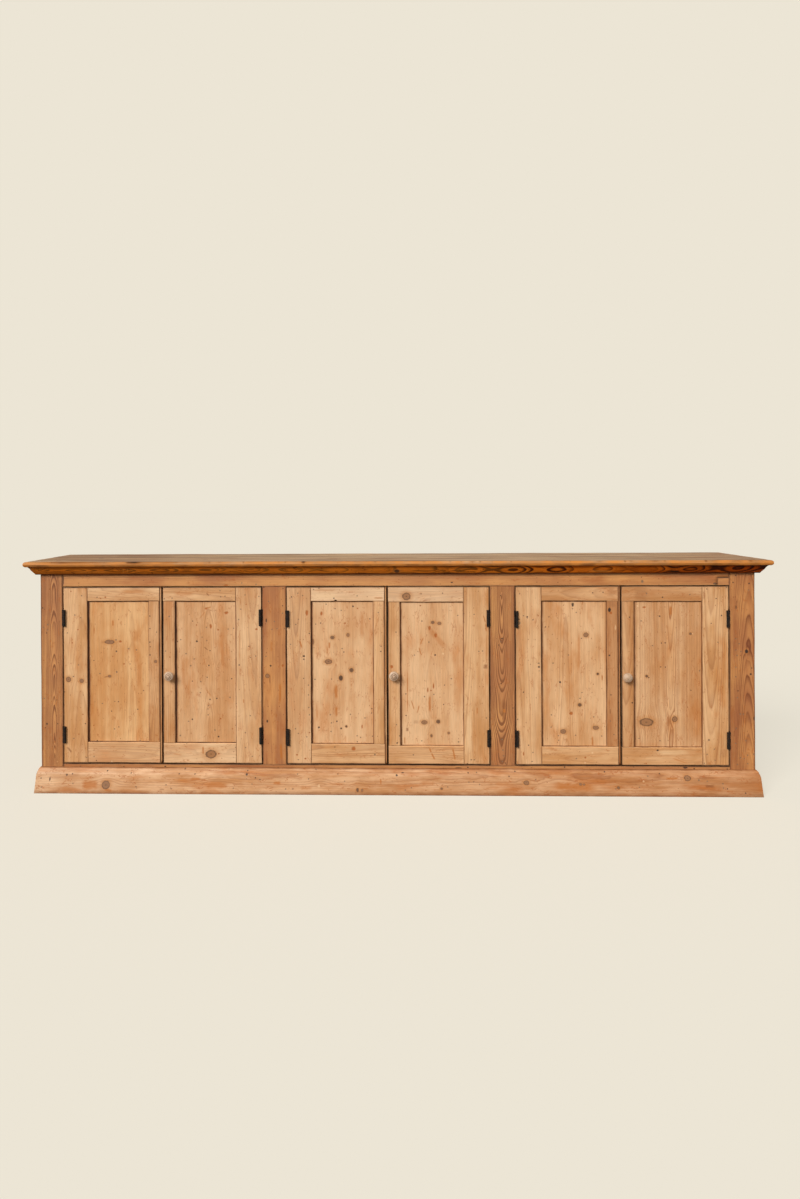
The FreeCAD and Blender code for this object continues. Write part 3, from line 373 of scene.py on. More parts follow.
# Top: rubbed and greyed by use, its long streaks still showing, and its front edge worn to bright orange with a
# painted highlight
pineTop = pineFinish("rubbed_pine_top", early="#D4AC7E", earlyDeep="#8A643C", late="#6E4A2E", warm="#96623A",
                     worn="#CB8038", gloss=0.22, bleached="#DCC0A0", warmth=0.45, rough=(0.52, 0.62),
                     fibres=(0.84, 1.13),
                     patterns={"band": (640, 90, 5), "cloud": (360, 55, 5), "patch": (330, 40, 5)})
# Inside: bare planed pine gone brown with age, dull and open
pineInside = pineFinish("bare_old_pine_inside", early="#C9A175", earlyDeep="#B38758", late="#85582F",
                        warm="#A8723E", rough=(0.62, 0.8), gloss=0.2)
# Back: rough sawn boards, greyer and quite matt
pineBack = pineFinish("rough_sawn_pine_back", early="#AE8A63", earlyDeep="#8F6C49", late="#6A4A2C",
                      warm="#8C6238", rough=(0.7, 0.9), gloss=0.15, fibres=(0.86, 1.08))
# Knobs: turned pine with no dark wax, grey-beige and smooth
pineKnob = pineFinish("turned_pine_knobs", early="#D3B79B", earlyDeep="#B99879", late="#947050", warm="#AE865F",
                      warmth=0.4, rough=(0.40, 0.55), flecks=0.2, dirt="#4A3420")

# Hinges and bolts are forged iron, blackened, with a little brown rust
ironLook = {
    "black": "#1B1815", "rust": "#4A2C1A", "rusty": (0.52, 0.70), "rough": (0.42, 0.72), "metal": 0.75,
    "mottle": 4.0, "relief": 0.6,      # mm
}
iron, tree = blankMaterial("blackened_iron")
mottle = addNode(tree, "TexNoise", {"Vector": addNode(tree, "TexCoord").outputs["Object"],
                                    "Scale": 1000 / ironLook["mottle"], "Detail": 4.0})
rust = addNode(tree, "MapRange", [mottle, *ironLook["rusty"]], interpolation_type="SMOOTHSTEP")
colour = addNode(tree, "Mix", [rust, linear(ironLook["black"]), linear(ironLook["rust"])], data_type="RGBA")
rough = addNode(tree, "MapRange", [mottle, 0.3, 0.7, *ironLook["rough"]])
bump = addNode(tree, "Bump", {"Height": mottle, "Distance": ironLook["relief"] / 1000, "Strength": 0.6})
skin = addNode(tree, "BsdfPrincipled", {"Base Color": colour, "Roughness": rough, "Normal": bump,
                                        "Metallic": ironLook["metal"]})
addNode(tree, "OutputMaterial", [skin])
print("finishes made")

# What the photograph shows on the front and the top, each place read in its pixels.
# Specks are x, y and a width where it isn't 1.4, or a width and a height; knots x, y, width, height, tone;
# streaks from x, y to x, y, width, kind. The kinds and tones are those of the finish.
marksSeen = {
    "left stile": {
        "dark": [(46.7, 633, 1.3), (47, 723.9, 2), (63.5, 677.3, 1.2), (64.6, 691.9, 1.2), (64.2, 757.3, 1.2),
             (57.8, 723.7, 1.2), (45.3, 727.6, 1.1), (56.6, 700, 1.0), (42.6, 608, 1.3)],
        "orange": [(43.9, 660.4)],
        "grey": [(47.8, 624.6, 1.8), (43.5, 627.5), (47.8, 630), (44.4, 698.4)],
        "pale": [(57.4, 761.6, 1.5)],
        "streaks": [(63.4, 575, 63.4, 585, 1.0, 2), (63.9, 761, 63.9, 767, 1.0, 2),
             (57.5, 694, 56, 707, 1.4, 5), (58, 742, 58, 748, 1.2, 6)],
    },
    "door 1": {
        "dark": [(65.6, 587.4, 1.9), (97.1, 597.3, 1.2), (93.9, 660.5, 1.1), (116.4, 651.3, 1.7),
             (114.9, 701.4, 1.1), (118.5, 701.6, 1.2), (97.6, 740.5, 1.3), (111.7, 711.2, 1.1),
             (118.9, 726.9, 1.2), (137.8, 709.3, 1.2), (143.5, 690.5, 1.1), (149.8, 616.1, 1.3),
             (150.0, 628.6, 1.2), (149.8, 642.1, 1.4), (150.2, 646.8, 1.2), (150, 655, 1.4),
             (85.3, 723.7, 1.2), (67.4, 632.9, 1.1), (96.4, 760.5, 1.2), (80.3, 766.4, 1.3),
             (123.9, 766.7, 1.4), (165.3, 766.7, 2), (130, 664, 1.0)],
        "orange": [(71, 591.4), (78.1, 629.6), (72.4, 642.9), (82.8, 714.4), (78.9, 734.1), (112.8, 656.4),
             (93.9, 725.4), (105.3, 597.3, 1.8), (100.6, 598.4), (120.3, 641.6, 3, 2.4), (124, 664, 1.8)],
        "grey": [(81.7, 595.7), (74.9, 615.1, 1.5), (80.6, 617.7), (78.5, 665), (73.5, 676.6, 1.6),
             (73.9, 738.4), (86.7, 757.6), (136.4, 649.9, 1.5), (128.5, 648.6), (116, 639.9, 1.6),
             (99.9, 673.7), (116.7, 672.1, 1.9), (102.4, 703.5), (114.6, 728.9), (140.3, 740.4),
             (94.2, 756.6), (156.7, 632.1)],
        "pale": [(90.3, 656.1, 1.8), (96, 740.9, 1.8), (111.7, 761.6, 1.8)],
        "knots": [(109.6, 642, 9.6, 4, 4), (109.6, 676.2, 3.2, 2.6, 4), (81.7, 680.9, 4, 4, 5),
             (68.5, 679.4, 5, 5, 3), (155.6, 661.4, 3, 3, 5)],
        "streaks": [(112.8, 620, 112.9, 626, 1.8, 1), (94.2, 627, 94.3, 634, 1.4, 5),
             (132.1, 638.8, 132.1, 644, 1.3, 1), (137, 631, 136, 641, 7, 5),
             (103.9, 677.3, 108.5, 676.2, 1.2, 3), (101.4, 642.1, 105, 642.1, 2, 6),
             (67.1, 746.9, 71.7, 752.3, 2.2, 3), (86.9, 590, 86.9, 760, 0.9, 6), (140, 660, 139, 690, 5, 5),
             (92, 690, 92.5, 718, 3, 5), (150, 726, 150, 742, 1.2, 3), (121, 592, 146, 591, 4, 5)],
    },
    "door 2": {
        "dark": [(177.5, 641.4, 1.5), (196.8, 641.4, 2.2), (210, 650.7, 1.3), (231.6, 678.7, 1.4),
             (210, 699.4, 1.6), (216.8, 698.4, 1.5), (192.5, 719.3, 1.6), (218.6, 736.6, 1.8),
             (192.5, 621.1, 1.2), (208.9, 665.4, 1.6), (248.8, 646.4, 1.3), (239.3, 665, 1.5),
             (192.4, 681.2, 1.2), (202.1, 637.1, 1.1), (186.8, 743.4, 1.2), (261.8, 722, 1.2, 7),
             (227.5, 768.5, 1.8), (207.1, 677.3, 1.2), (236.3, 703.7, 1.2)],
        "orange": [(196.4, 625), (170, 657.1), (206.1, 608.6, 2.4), (218.2, 629.9, 1.8),
             (210.7, 626.4, 2.6, 5), (226.4, 612.9, 4, 3), (220.7, 718.7, 1.8), (232.5, 728.9),
             (246.1, 604.3), (256.4, 629.3, 2.2), (218.9, 753.7, 2), (226.1, 585.4, 4.5, 2.6)],
        "grey": [(180.7, 639.6), (169.3, 616.4, 1.6), (165.7, 651.1), (164.3, 598.9), (172.1, 598.2),
             (220, 590.7), (220.7, 596.8), (225, 596.3), (233.6, 628.4), (228.2, 629.1), (206.4, 627.5),
             (206.8, 640.7), (186.1, 653.6, 1.7), (194.3, 658.9), (190.7, 665.7, 1.6), (200.7, 681.6),
             (200.4, 692.6), (230, 697.4, 1.6), (208.6, 705.5), (208, 709), (208.2, 714.8), (188.6, 721.4),
             (215, 730.1), (180.4, 735.5, 1.7), (245, 595), (258.9, 596.4), (240.7, 609.3), (255.7, 656.1),
             (238.6, 619.6), (250.4, 657.5), (250.4, 715.7), (245.5, 732.6), (245.7, 747.6), (252.5, 756.4),
             (235.7, 747.3), (241.8, 582.9), (256.1, 584.3)],
        "pale": [(233.4, 742.3, 1.8)],
        "knots": [(211.1, 754.1, 10.5, 8, 1), (208.6, 692.6, 5, 7, 10)],
        "streaks": [(174, 594, 194, 593.6, 5, 5), (206.4, 592.9, 208.9, 595.7, 1.2, 3),
             (206.1, 608.6, 211.1, 606.8, 1.3, 1), (198.9, 619.3, 205.6, 611, 1.2, 5),
             (204, 647, 208, 650, 1.2, 3), (202.9, 657, 205.7, 666, 1.2, 5),
             (205.7, 688.7, 211.4, 696.6, 1.4, 5), (203, 746.2, 203.2, 754.4, 2, 1),
             (172.9, 753.5, 182.1, 755, 1.6, 5), (243.6, 699, 243.6, 703, 1.2, 1),
             (176.3, 686, 176.3, 712, 2.4, 3), (236.3, 603, 236.3, 694, 1.2, 3),
             (239.5, 630, 239.3, 664, 1.4, 5), (183, 655, 184, 690, 4, 5), (222, 640, 223, 668, 3.5, 5)],
    },
    "pier 1": {
        "dark": [(263.9, 587.4, 1.4), (266.2, 620.4, 1.3, 4.5), (282.9, 588.6, 1.2), (267.4, 721.2, 1.8, 3),
             (278.2, 767.6, 1.5), (282.5, 605.7, 1.2), (270.7, 665.7, 2)],
        "grey": [(268.6, 601.4), (282.5, 613.2), (274.3, 621.4), (272.1, 629.3), (277.1, 628.6),
             (284.6, 628.6), (266.1, 656.4)],
        "orange": [(282.9, 665.7, 2.6, 3)],
        "knots": [(267.5, 675.9, 4, 4, 3)],
        "streaks": [(271.4, 641, 271.4, 652, 2.2, 5), (277, 641, 277, 646, 1.3, 6),
             (270, 674, 270, 684, 1.6, 3), (264.3, 681, 264.3, 684, 1.2, 3), (280, 682, 280.3, 704, 2.6, 1),
             (281, 742, 281.4, 761, 2.4, 1), (264, 600, 264, 760, 0.9, 6), (285.7, 600, 285.7, 760, 0.9, 6)],
    },
    "door 3": {
        "dark": [(303.9, 656.3, 2.4), (303.9, 659.3, 1.6), (353.1, 606.3, 1.8), (336.8, 721.4, 1.6),
             (341.2, 728.4, 2), (318.9, 727.4, 2), (380.9, 651.4, 1.4), (315.7, 624.1, 1.1),
             (320.6, 623.1, 1.3), (369.9, 618.9, 1.2), (371.8, 708.7, 1.2), (371.6, 713.1, 1.2),
             (334.9, 747.1, 1.2), (303.6, 678.4, 1.2), (291.6, 597, 1.3), (309.3, 633.4, 1.3),
             (285.7, 768.4, 1.8), (333.9, 598.2, 1.6)],
        "orange": [(306.8, 612.9, 3, 6), (357.5, 608.4, 1.6), (345, 623.2, 1.8), (309.5, 732.6),
             (296.9, 754.8, 1.8), (305.5, 758.6, 2), (353.6, 748.7, 4.4), (321.5, 613.5, 2.6, 4.5),
             (362.1, 726.6, 1.5, 4)],
        "grey": [(297.9, 593.2), (302.7, 595.6), (295.9, 624.5), (298.6, 619.3), (290.7, 644.3), (308.6, 695),
             (308.6, 685.1), (308.9, 707.4), (309.5, 714.8), (295.4, 728.7), (298.4, 733.4), (306.8, 736.9),
             (298.4, 759.6), (313.6, 589.3), (318.9, 588.2), (357.1, 595.9), (326.1, 604.3), (335.2, 608.6),
             (341.3, 610.4), (342.1, 648.6), (343.8, 652.1), (330.4, 714.8), (331.4, 723), (331.1, 731.4),
             (350.4, 714.4), (365, 718), (372.5, 736.2), (360.7, 737.5), (357.1, 735.9), (357.3, 741.9),
             (315, 679.4), (331.6, 679.1), (381.1, 646.4), (378.2, 612.5), (374.9, 754.6, 2)],
        "knots": [(332.4, 637.5, 4.2, 3.4, 6), (348, 635, 3.2, 3.6, 4), (328.4, 661.6, 7.2, 4.6, 4),
             (351.4, 670.1, 4.2, 4.2, 7), (340.9, 678, 4, 5.2, 8), (312.9, 641.8, 2.2, 5, 5),
             (346.3, 726.4, 2.2, 2.2, 7)],
        "streaks": [(299.6, 639.6, 302.1, 648.6, 1.5, 1), (323.6, 602, 323.6, 617, 1.0, 5),
             (329.3, 642, 329.3, 648.6, 2, 1), (327, 645, 327, 655, 1.6, 5),
             (336.1, 684, 336.1, 699.4, 3.2, 1), (336.1, 706, 336.3, 717, 2.6, 1),
             (316.8, 702, 317, 721, 1.5, 5), (345.4, 735, 345.4, 743, 1.5, 5),
             (373.6, 597.9, 383.6, 597.9, 1.5, 1), (311, 590, 337, 590, 1.4, 5),
             (313, 595.5, 337, 595.5, 6, 4), (362, 610, 362, 640, 4, 5)],
    },
    "door 4": {
        "dark": [(451.9, 582.5, 2.4, 1.4), (435.2, 655, 1.8), (397.1, 743, 1.6), (399.6, 735.9, 1.3),
             (463.6, 613.6, 1.4), (463.6, 622.1, 1.4), (463.8, 717, 1.4, 9), (405.9, 693.9, 1.2),
             (406.1, 715.5, 1.2), (467.5, 764.1, 2), (444.6, 685.1, 1.1), (443.6, 704.4, 1.2),
             (396.1, 632.1, 1.2), (422, 621.1, 1.3), (443.9, 764.1, 1.4)],
        "orange": [(420.4, 605.7, 1.6), (429.6, 628.2, 2.8, 5), (435.7, 635.4, 3, 4.5),
             (391.8, 666.8, 3.2, 3.4), (431.1, 690.5, 1.6), (433.6, 686, 1.6, 6), (427.9, 690, 1.4, 5)],
        "grey": [(421.1, 593.9), (442.6, 593.2), (457.9, 615.4), (428.9, 642.1), (414.6, 655.1),
             (424.6, 696.6), (433.9, 694.4), (451.4, 678.7), (421.8, 740.9), (458.6, 741.9, 1.7),
             (396.4, 724.8), (393.2, 745.9), (474.1, 614.3), (478.9, 651.4), (482.5, 651.1), (486.4, 718),
             (471.4, 759.8), (474.3, 759.8), (413.4, 754.8)],
        "pale": [(464.3, 711.6, 1.8), (443, 653.6, 2.4)],
        "knots": [(406.4, 596.4, 8, 7, 2), (432.7, 622.4, 3.6, 3, 6), (439.3, 623.4, 3.8, 3, 5),
             (443.6, 642.1, 8, 8, 10), (424.3, 722.3, 6, 4, 4), (438.2, 721.6, 4, 3.8, 7),
             (431.4, 735.7, 2.2, 3, 6), (448.7, 733, 2.4, 2.2, 5)],
        "streaks": [(428, 628, 446.5, 648, 5.5, 5), (423.6, 637.1, 418.9, 647.1, 1.2, 1),
             (418.9, 647.1, 421.4, 655.4, 1.2, 1), (407.5, 665, 407.5, 716, 1.2, 1),
             (411.1, 699.8, 414.3, 710.1, 1.3, 1), (419.3, 705.1, 417.1, 713.4, 1.4, 1),
             (429.6, 695, 429.8, 712.6, 2.6, 1), (415.7, 721.2, 415.7, 722.6, 5, 6),
             (407.1, 728, 407.1, 731, 2.4, 3), (404.6, 736.6, 404.8, 744.4, 1.5, 1),
             (483.2, 615, 485.7, 622.9, 1.4, 1), (485.7, 622.9, 486.4, 632.1, 1.4, 1),
             (486.4, 633, 486.4, 661, 1.5, 5), (485.4, 665, 485.4, 668, 4.4, 3),
             (477.1, 707, 477.1, 714.4, 1.4, 1), (469.2, 709, 469.2, 754, 4.4, 4),
             (429.3, 748, 431.4, 753, 1.6, 1), (431.4, 753, 435, 760, 1.6, 1),
             (452.5, 747.3, 455.4, 760.9, 1.8, 1), (464.6, 588, 464.6, 600, 0.9, 6)],
    },
    "pier 2": {
        "dark": [(502.1, 638.6, 2), (501.1, 683.7, 1.4), (498.9, 645, 1.3), (505.4, 763, 1.3),
             (512.9, 708, 1.2), (458.6, 768, 7, 1.5), (467.9, 767.3, 1.6), (500.7, 595.7, 1.2)],
        "grey": [(500.7, 641.8), (498.9, 730.9), (502.1, 739.4, 1.6), (502.9, 750.1, 1.6), (503.6, 755.9),
             (502.1, 761.6)],
        "streaks": [(508.6, 634.3, 504.3, 645, 1.3, 3), (504.3, 699, 504.3, 723.7, 4.2, 3),
             (504.3, 700, 504.5, 722, 3.6, 1), (511.8, 734.4, 512.5, 738, 1.2, 3),
             (492, 600, 492, 760, 0.9, 6), (512.5, 600, 512.5, 760, 0.9, 6)],
    },
    "door 5": {
        "dark": [(519.2, 619.8, 2.2), (527.3, 616.9, 1.8), (539, 666.9, 2.2), (572.7, 604.6, 2.8, 4),
             (560.2, 682.2, 2.2), (609.4, 655.4, 1.8), (545.4, 626.9, 1.3), (548.5, 626.9, 1.4),
             (549, 616.9, 1.2), (597.8, 673.9, 1.6), (581.5, 638.3, 1.2), (611, 694.9, 1.3),
             (592.7, 592.7, 1.3), (603.1, 592.3, 1.3), (522.3, 768.9, 1.6), (564.6, 767.2, 1.6),
             (607.1, 680, 1.2, 40), (528.7, 745.3, 1.2), (523.6, 692.2, 1.3)],
        "orange": [(538.2, 615.8), (571.2, 713.4, 3.8), (585.4, 757.6, 2), (611, 613, 2.6, 3),
             (523.6, 753.8, 1.3, 4)],
        "grey": [(519.6, 623.1, 2.2, 3.6), (519.6, 593.8), (523.5, 615.8), (533.1, 619.8),
             (538.8, 663.5, 2.2), (539.2, 670.7), (517.7, 719.2), (532.9, 752.5), (531.9, 761.5),
             (572.5, 608.5, 1.7), (576.2, 612.5), (568.5, 655), (553.1, 663.1), (582.1, 692.5), (580, 698.4),
             (551.5, 714.9), (551.2, 727.1), (593.8, 716.8), (558.5, 735.7), (575.6, 735.3), (601.7, 736.1),
             (558.6, 740.3), (610.5, 721.1), (614.1, 734.5), (576.4, 758.5)],
        "pale": [(592.3, 752.8, 2), (585, 762.6, 1.8), (615.4, 627.5, 1.6, 6)],
        "knots": [(585.9, 634.8, 4.8, 4.4, 4), (579.8, 704.9, 3.8, 3.4, 7), (563.2, 731.5, 5.6, 4.4, 5),
             (595.8, 727.8, 6, 3.8, 4), (609.4, 609.8, 3, 4.4, 9), (597.8, 673.9, 2.6, 2.4, 5)],
        "streaks": [(579, 628, 579, 675, 2.8, 5), (602.1, 674.6, 602.1, 680.6, 1.3, 1),
             (610.4, 708.8, 610.4, 714, 1.4, 3), (592.5, 735.7, 592.7, 746.5, 1.7, 1),
             (612, 601, 612, 606, 7, 6), (611.5, 588, 611.5, 596, 7, 6), (541.3, 588, 541.3, 600, 0.9, 6),
             (541.3, 747, 541.3, 765, 0.9, 6)],
    },
    "door 6": {
        "dark": [(662.5, 597.3, 1.6), (641.5, 577.3, 1.3), (721.5, 615.5, 1.6), (659.6, 616.2, 1.8),
             (661.5, 643.1, 1.3), (665.2, 642.9, 1.3), (660.6, 666.9, 1.3), (665.4, 667.1, 1.3),
             (648.8, 677.6, 1.4), (701.9, 606.9, 1.5, 4), (702, 622, 1.3, 6), (702, 703.4, 1.3, 15),
             (632.3, 702.8, 1.6), (629.5, 617.2, 1.4), (641.2, 620.9, 1.2), (716.2, 598.5, 1.3),
             (711.3, 623.3, 1.2), (633.8, 766.8, 1.4), (694.2, 768.8, 1.8), (727.3, 769.2, 1.5),
             (657.7, 750.4, 2.4, 1.8), (690.9, 690.3, 1.2)],
        "orange": [(644.2, 607.3, 3.6, 2), (646.2, 763.4, 1.5)],
        "grey": [(690, 594.5), (646.5, 593.5, 1.8), (642.3, 581.5, 2.6, 3.4), (706.9, 589.2), (726.5, 587.7),
             (718, 642.3), (709, 740.1, 2.2), (714.5, 749.3), (707.3, 754.5), (715.4, 760.3), (652.5, 645.6),
             (699.5, 670.8), (639.1, 738.4), (660, 740.7), (704.6, 763.4)],
        "pale": [(637.3, 605.8, 2), (640.8, 678.8, 1.8), (702, 616, 1.6, 4), (702.2, 718, 1.5, 8),
             (692.6, 633.7, 1.4)],
        "knots": [(690.4, 633.7, 2.6, 2.4, 6), (646.7, 676.2, 2.8, 2.6, 7), (646.5, 722.2, 13.5, 7.8, 2),
             (674.8, 719.2, 5.4, 5.2, 3)],
        "streaks": [(670.4, 606, 670.6, 615.4, 2.8, 1), (641.4, 624.7, 641.4, 630.7, 1.2, 5),
             (670, 757.2, 689.2, 764.2, 1.2, 5), (641, 589, 641, 600, 13, 6), (704, 590, 704, 600, 1.0, 3),
             (723.5, 750, 723.5, 757, 7, 6), (655, 752.5, 690, 752.5, 5, 4)],
    },
    "right stile": {
        "dark": [(735.8, 575.4, 1.3), (733.2, 582.5, 1.5), (749.1, 583.5, 1.7), (716.5, 584.6, 2),
             (736.2, 607.3, 1.1, 4), (750.8, 674.2, 2.2), (738.1, 690.9, 1.3), (754, 718.5, 1.2, 4),
             (751.9, 668.1, 1.3)],
        "grey": [(748.8, 590), (735.8, 638.5), (739.2, 643.8), (735.8, 650), (741, 651.5), (737.1, 655.4),
             (735.8, 667.3), (735.8, 676.8), (737.3, 697.6), (740.4, 714, 1.8), (743.5, 714.2),
             (736.2, 728.4), (735.6, 743.4), (745.8, 740.7), (740.4, 758), (744.2, 758.8), (737.3, 764.5),
             (747.7, 763.6), (747.7, 755.3), (753.8, 754.2), (730, 759.2)],
        "knots": [(746.5, 651.3, 3.4, 4, 9), (736.5, 593.3, 3, 6, 10), (714.8, 584.2, 3, 3.4, 7)],
        "streaks": [(734.2, 731.7, 734.2, 736.7, 1.3, 3), (743, 735.7, 751, 740, 1.2, 5),
             (718, 577.6, 729, 577.4, 1.3, 2)],
    },
    "plinth": {
        "dark": [(64.6, 775.3, 2), (396.8, 775.9, 2.2), (245.7, 775, 2.4), (70.1, 774.4, 1.3),
             (104.2, 771.6, 1.5), (128.9, 773.7, 1.3), (182, 769.8, 1.4), (177.5, 774.4, 1.3),
             (193.4, 774.6, 1.4), (245.9, 771.6, 1.4), (245.7, 778.7, 1.5), (254.6, 778.4, 1.5),
             (259.3, 780.1, 1.3), (402.9, 773.6, 3, 1), (396.8, 779.4, 1.4), (469.1, 773.6, 1.3),
             (510, 776.9, 1.4), (516.7, 772.4, 1.4), (607.5, 772.8, 1.5), (662.8, 774.5, 1.3),
             (746.2, 793.4, 1.5), (48.1, 779.5, 1.3, 4.5), (728.5, 789.2, 1.3)],
        "grey": [(39.2, 778.6, 1.6), (71.7, 783.7), (40.6, 787.4), (135.3, 786.9), (165.3, 785.1),
             (251.4, 784.4), (232.9, 788.4), (170.7, 788.7), (314.9, 770.4), (296.8, 774.8), (337.5, 774.8),
             (308.2, 779.4), (344.5, 781.6), (285.4, 789.3), (292.7, 789.3), (411.4, 788), (405.4, 790.3),
             (447.9, 787.3), (469.3, 782.6), (474.3, 782.3), (480, 784.8), (477.7, 773.4), (536.5, 780.3),
             (650, 776.8), (700.8, 780.7, 2), (709.2, 781.8), (724.6, 784.2, 1.7), (724.6, 788.4),
             (640.4, 787.6), (616.5, 789.2)],
        "pale": [(645, 781.8, 2.2), (318.6, 786.2, 3)],
        "knots": [(104.9, 785.1, 8, 8, 5), (357.4, 790.1, 2.6, 4, 7), (362.1, 790.4, 2, 3, 5),
             (527.1, 783.2, 5.5, 4.2, 4), (581.5, 784.7, 3, 2.6, 5), (584.8, 784.9, 3, 2, 5),
             (619.2, 788, 3, 3, 6), (689.6, 778.8, 6.5, 5.5, 3), (441.8, 788.9, 2.6, 2.2, 6),
             (675, 780, 10, 5, 10), (560, 786, 12, 8, 10), (215, 785, 12, 7, 10), (320, 786, 7, 6, 10)],
        "streaks": [(82, 785.1, 96, 785.1, 9, 1), (104, 789.5, 111.7, 790.9, 2.6, 1),
             (159, 789.4, 164, 789.4, 1.2, 3), (189, 791.9, 197, 791.9, 3, 6),
             (188.6, 779.5, 200, 779.5, 3, 1), (203, 785.5, 228, 785.5, 6, 1), (273, 783.3, 280, 783.3, 3, 1),
             (380.4, 779, 381, 785, 1.6, 1), (550, 786, 600, 788, 8, 1), (667, 779, 681, 779, 2.4, 1),
             (705.8, 786.5, 715.8, 786.5, 2.6, 3), (700, 790.3, 706, 790.3, 2, 6), (60, 789, 80, 790, 4, 5),
             (300, 788, 312, 788, 4, 5), (420, 783, 436, 784, 4, 5), (495, 784, 512, 784, 4, 5)],
    },
    "top": {
        "streaks": [(78, 556.8, 116, 557.0, 0.5, 3), (117, 555.8, 148, 555.8, 1.3, 3),
             (98, 558.2, 105, 558.2, 0.3, 2), (187, 558.9, 270, 558.9, 0.5, 3),
             (160, 557.2, 230, 557.0, 0.5, 4), (286, 558.6, 311, 558.6, 0.4, 4),
             (326, 558.2, 341, 558.4, 0.9, 3), (366, 558.3, 408, 558.6, 0.5, 3),
             (300, 556.2, 420, 556.0, 0.4, 4), (484, 557.6, 511, 557.4, 0.5, 3),
             (490, 557.5, 506, 557.4, 0.3, 2), (410, 557.4, 470, 557.0, 0.7, 4),
             (546, 556.6, 562, 556.8, 0.5, 3), (640, 556.0, 658, 556.0, 0.5, 3),
             (644, 556.0, 654, 556.0, 0.3, 2), (570, 558.0, 640, 558.2, 0.5, 4),
             (692, 556.6, 740, 557.4, 0.7, 3), (700, 555.0, 724, 555.2, 0.4, 3),
             (230, 555.4, 262, 555.4, 0.4, 6), (430, 558.7, 480, 558.8, 0.3, 6),
             (590, 555.4, 630, 555.4, 0.4, 6)],
    },
    "bottom strip": {
        "dark": [(685.4, 767.6, 5, 2.4)],
    },
    "moulding": {
        "dark": [(147.4, 573.2, 1.6)],
        "knots": [(240, 569.5, 8, 4, 10), (397, 571.4, 5, 3.4, 8), (470.7, 572.1, 6, 4, 10),
             (430, 571, 14, 5, 10), (124, 571, 5, 4, 10)],
        "streaks": [(118, 573.5, 122, 568.5, 1.0, 4), (122.5, 573.5, 126, 568.5, 1.0, 4),
             (127, 568.5, 131, 573.5, 1.0, 4), (132, 569, 136, 573, 1.0, 4), (64, 572.5, 110, 572, 1.0, 4),
             (150, 572, 200, 572.5, 1.0, 3), (675, 572, 685, 572, 3, 2), (590, 571, 620, 572, 3, 4)],
    },
}
# Chips out of an arris: x, y, length and depth
chipsSeen = [(335.6, 599.9, 3.4, 1.4), (657.7, 750.0, 2.0, 0.9), (467.5, 764.3, 1.6, 0.9)]
print("marks listed:", sum(len(marks) for board in marksSeen.values() for marks in board.values()))


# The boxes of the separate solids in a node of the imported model
def solidBoxes(node):
    welded = bmesh.new()
    welded.from_mesh(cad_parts[node].data)
    bmesh.ops.remove_doubles(welded, verts=welded.verts, dist=1e-6)
    boxes = []
    left = set(welded.verts)
    while left:
        group = [left.pop()]
        reached = [group[0]]
        while group:
            for edge in group.pop().link_edges:
                for vert in edge.verts:
                    if vert in left:
                        left.remove(vert)
                        group.append(vert)
                        reached.append(vert)
        spots = np.array([vert.co for vert in reached])
        boxes.append((spots.min(0), spots.max(0)))
    welded.free()
    return sorted(boxes, key=lambda corners: tuple(np.round(corners[0], 4)))


def newPiece():
    return {key: [] for key in ("points", "faces", "grain", "age", "knot", "streak", "speck", "board")}


def gather(piece, **layers):
    for layer, part in layers.items():
        piece[layer].append(part)


# How boards are cut into faces, worn and dirtied with painted highlights and shade, in metres or in arris
# widths
boardLook = {
    "nearArris": (0.0, 0.35, 1.0, 2.2, 5.0, 9.0),                # cut lines beside an arris, in arris widths
    "nearGroove": (0.0, 0.001, 0.0025, 0.0045, 0.007, 0.010),    # cut lines on a panel beside its groove
    "chipCuts": (-1, -0.5, 0.5, 1),                              # cut lines across a chip, in its depths
    "notchLip": 5e-5, "weld": 2e-5,                              # a notch's wall, and the least step of lines
    "waves": ((0.83, 0.45), (0.31, 0.33), (0.12, 0.22)),         # length of a plane's wave and its share
    "keenness": 0.3, "keenest": (0.5, 1.6),                      # how an arris varies along its length
    "endEase": 0.006,                                            # an arris is worn in full from here on
    "chipNear": 0.006,                                           # a chip lies this near an arris
    "faceDirt": ((0.0012, 0.0060), (1, 0.3)),                    # depth below the face, the share of dirt and painted shade
    "gapFade": (0.0052, 0.0085), "gapDeep": 0.16,                # where the painted shade in a gap fades, and to what share
    "swayTurns": 37,                                             # radians a metre by which the rings sway
    "knotSize": (0.004, 0.013), "speckSize": (0.001, 0.002), "speckTones": [0.8, 0.8, 1.7, 2.8],
    "markless": 60.0,                                            # half sizes off, where no mark shows
}


# Cut lines across one side of a board: close together at its arrises, then at an even step
def cutLines(low, high, step, arris, extra=()):
    size = high - low
    near = [share * arris for share in boardLook["nearArris"] if share * arris < size * 0.42]
    count = max(1, math.ceil((size - 2 * near[-1]) / step))
    middle = np.linspace(low + near[-1], high - near[-1], count + 1)
    lines = np.sort(np.concatenate([low + np.array(near), middle, high - np.array(near),
                                    [line for line in extra if low < line < high]]))
    return lines[np.concatenate([[True], np.diff(lines) > boardLook["weld"]])]


# More cut lines for each axis: beside notches and chips, and beside the groove that a panel goes into
def extraLines(low, high, run, side, pockets, chips, tucked):
    extra = [[], [], []]
    lip = boardLook["notchLip"]
    for pocketLow, pocketHigh, axis, to in pockets:
        for other in {0, 1, 2} - {axis}:
            start, end = pocketLow[other], pocketHigh[other]
            extra[other] += [start - lip, start, end, end + lip]
    for chipRun, chipSide, length, depth in chips:
        extra[run] += list(np.linspace(chipRun - length, chipRun + length, 9))
        extra[side] += [chipSide + depth * share for share in boardLook["chipCuts"]]
    for way in (run, side) if tucked else ():
        for inset in boardLook["nearGroove"]:
            extra[way] += [low[way] + tucked + inset, high[way] - tucked - inset]
    return extra


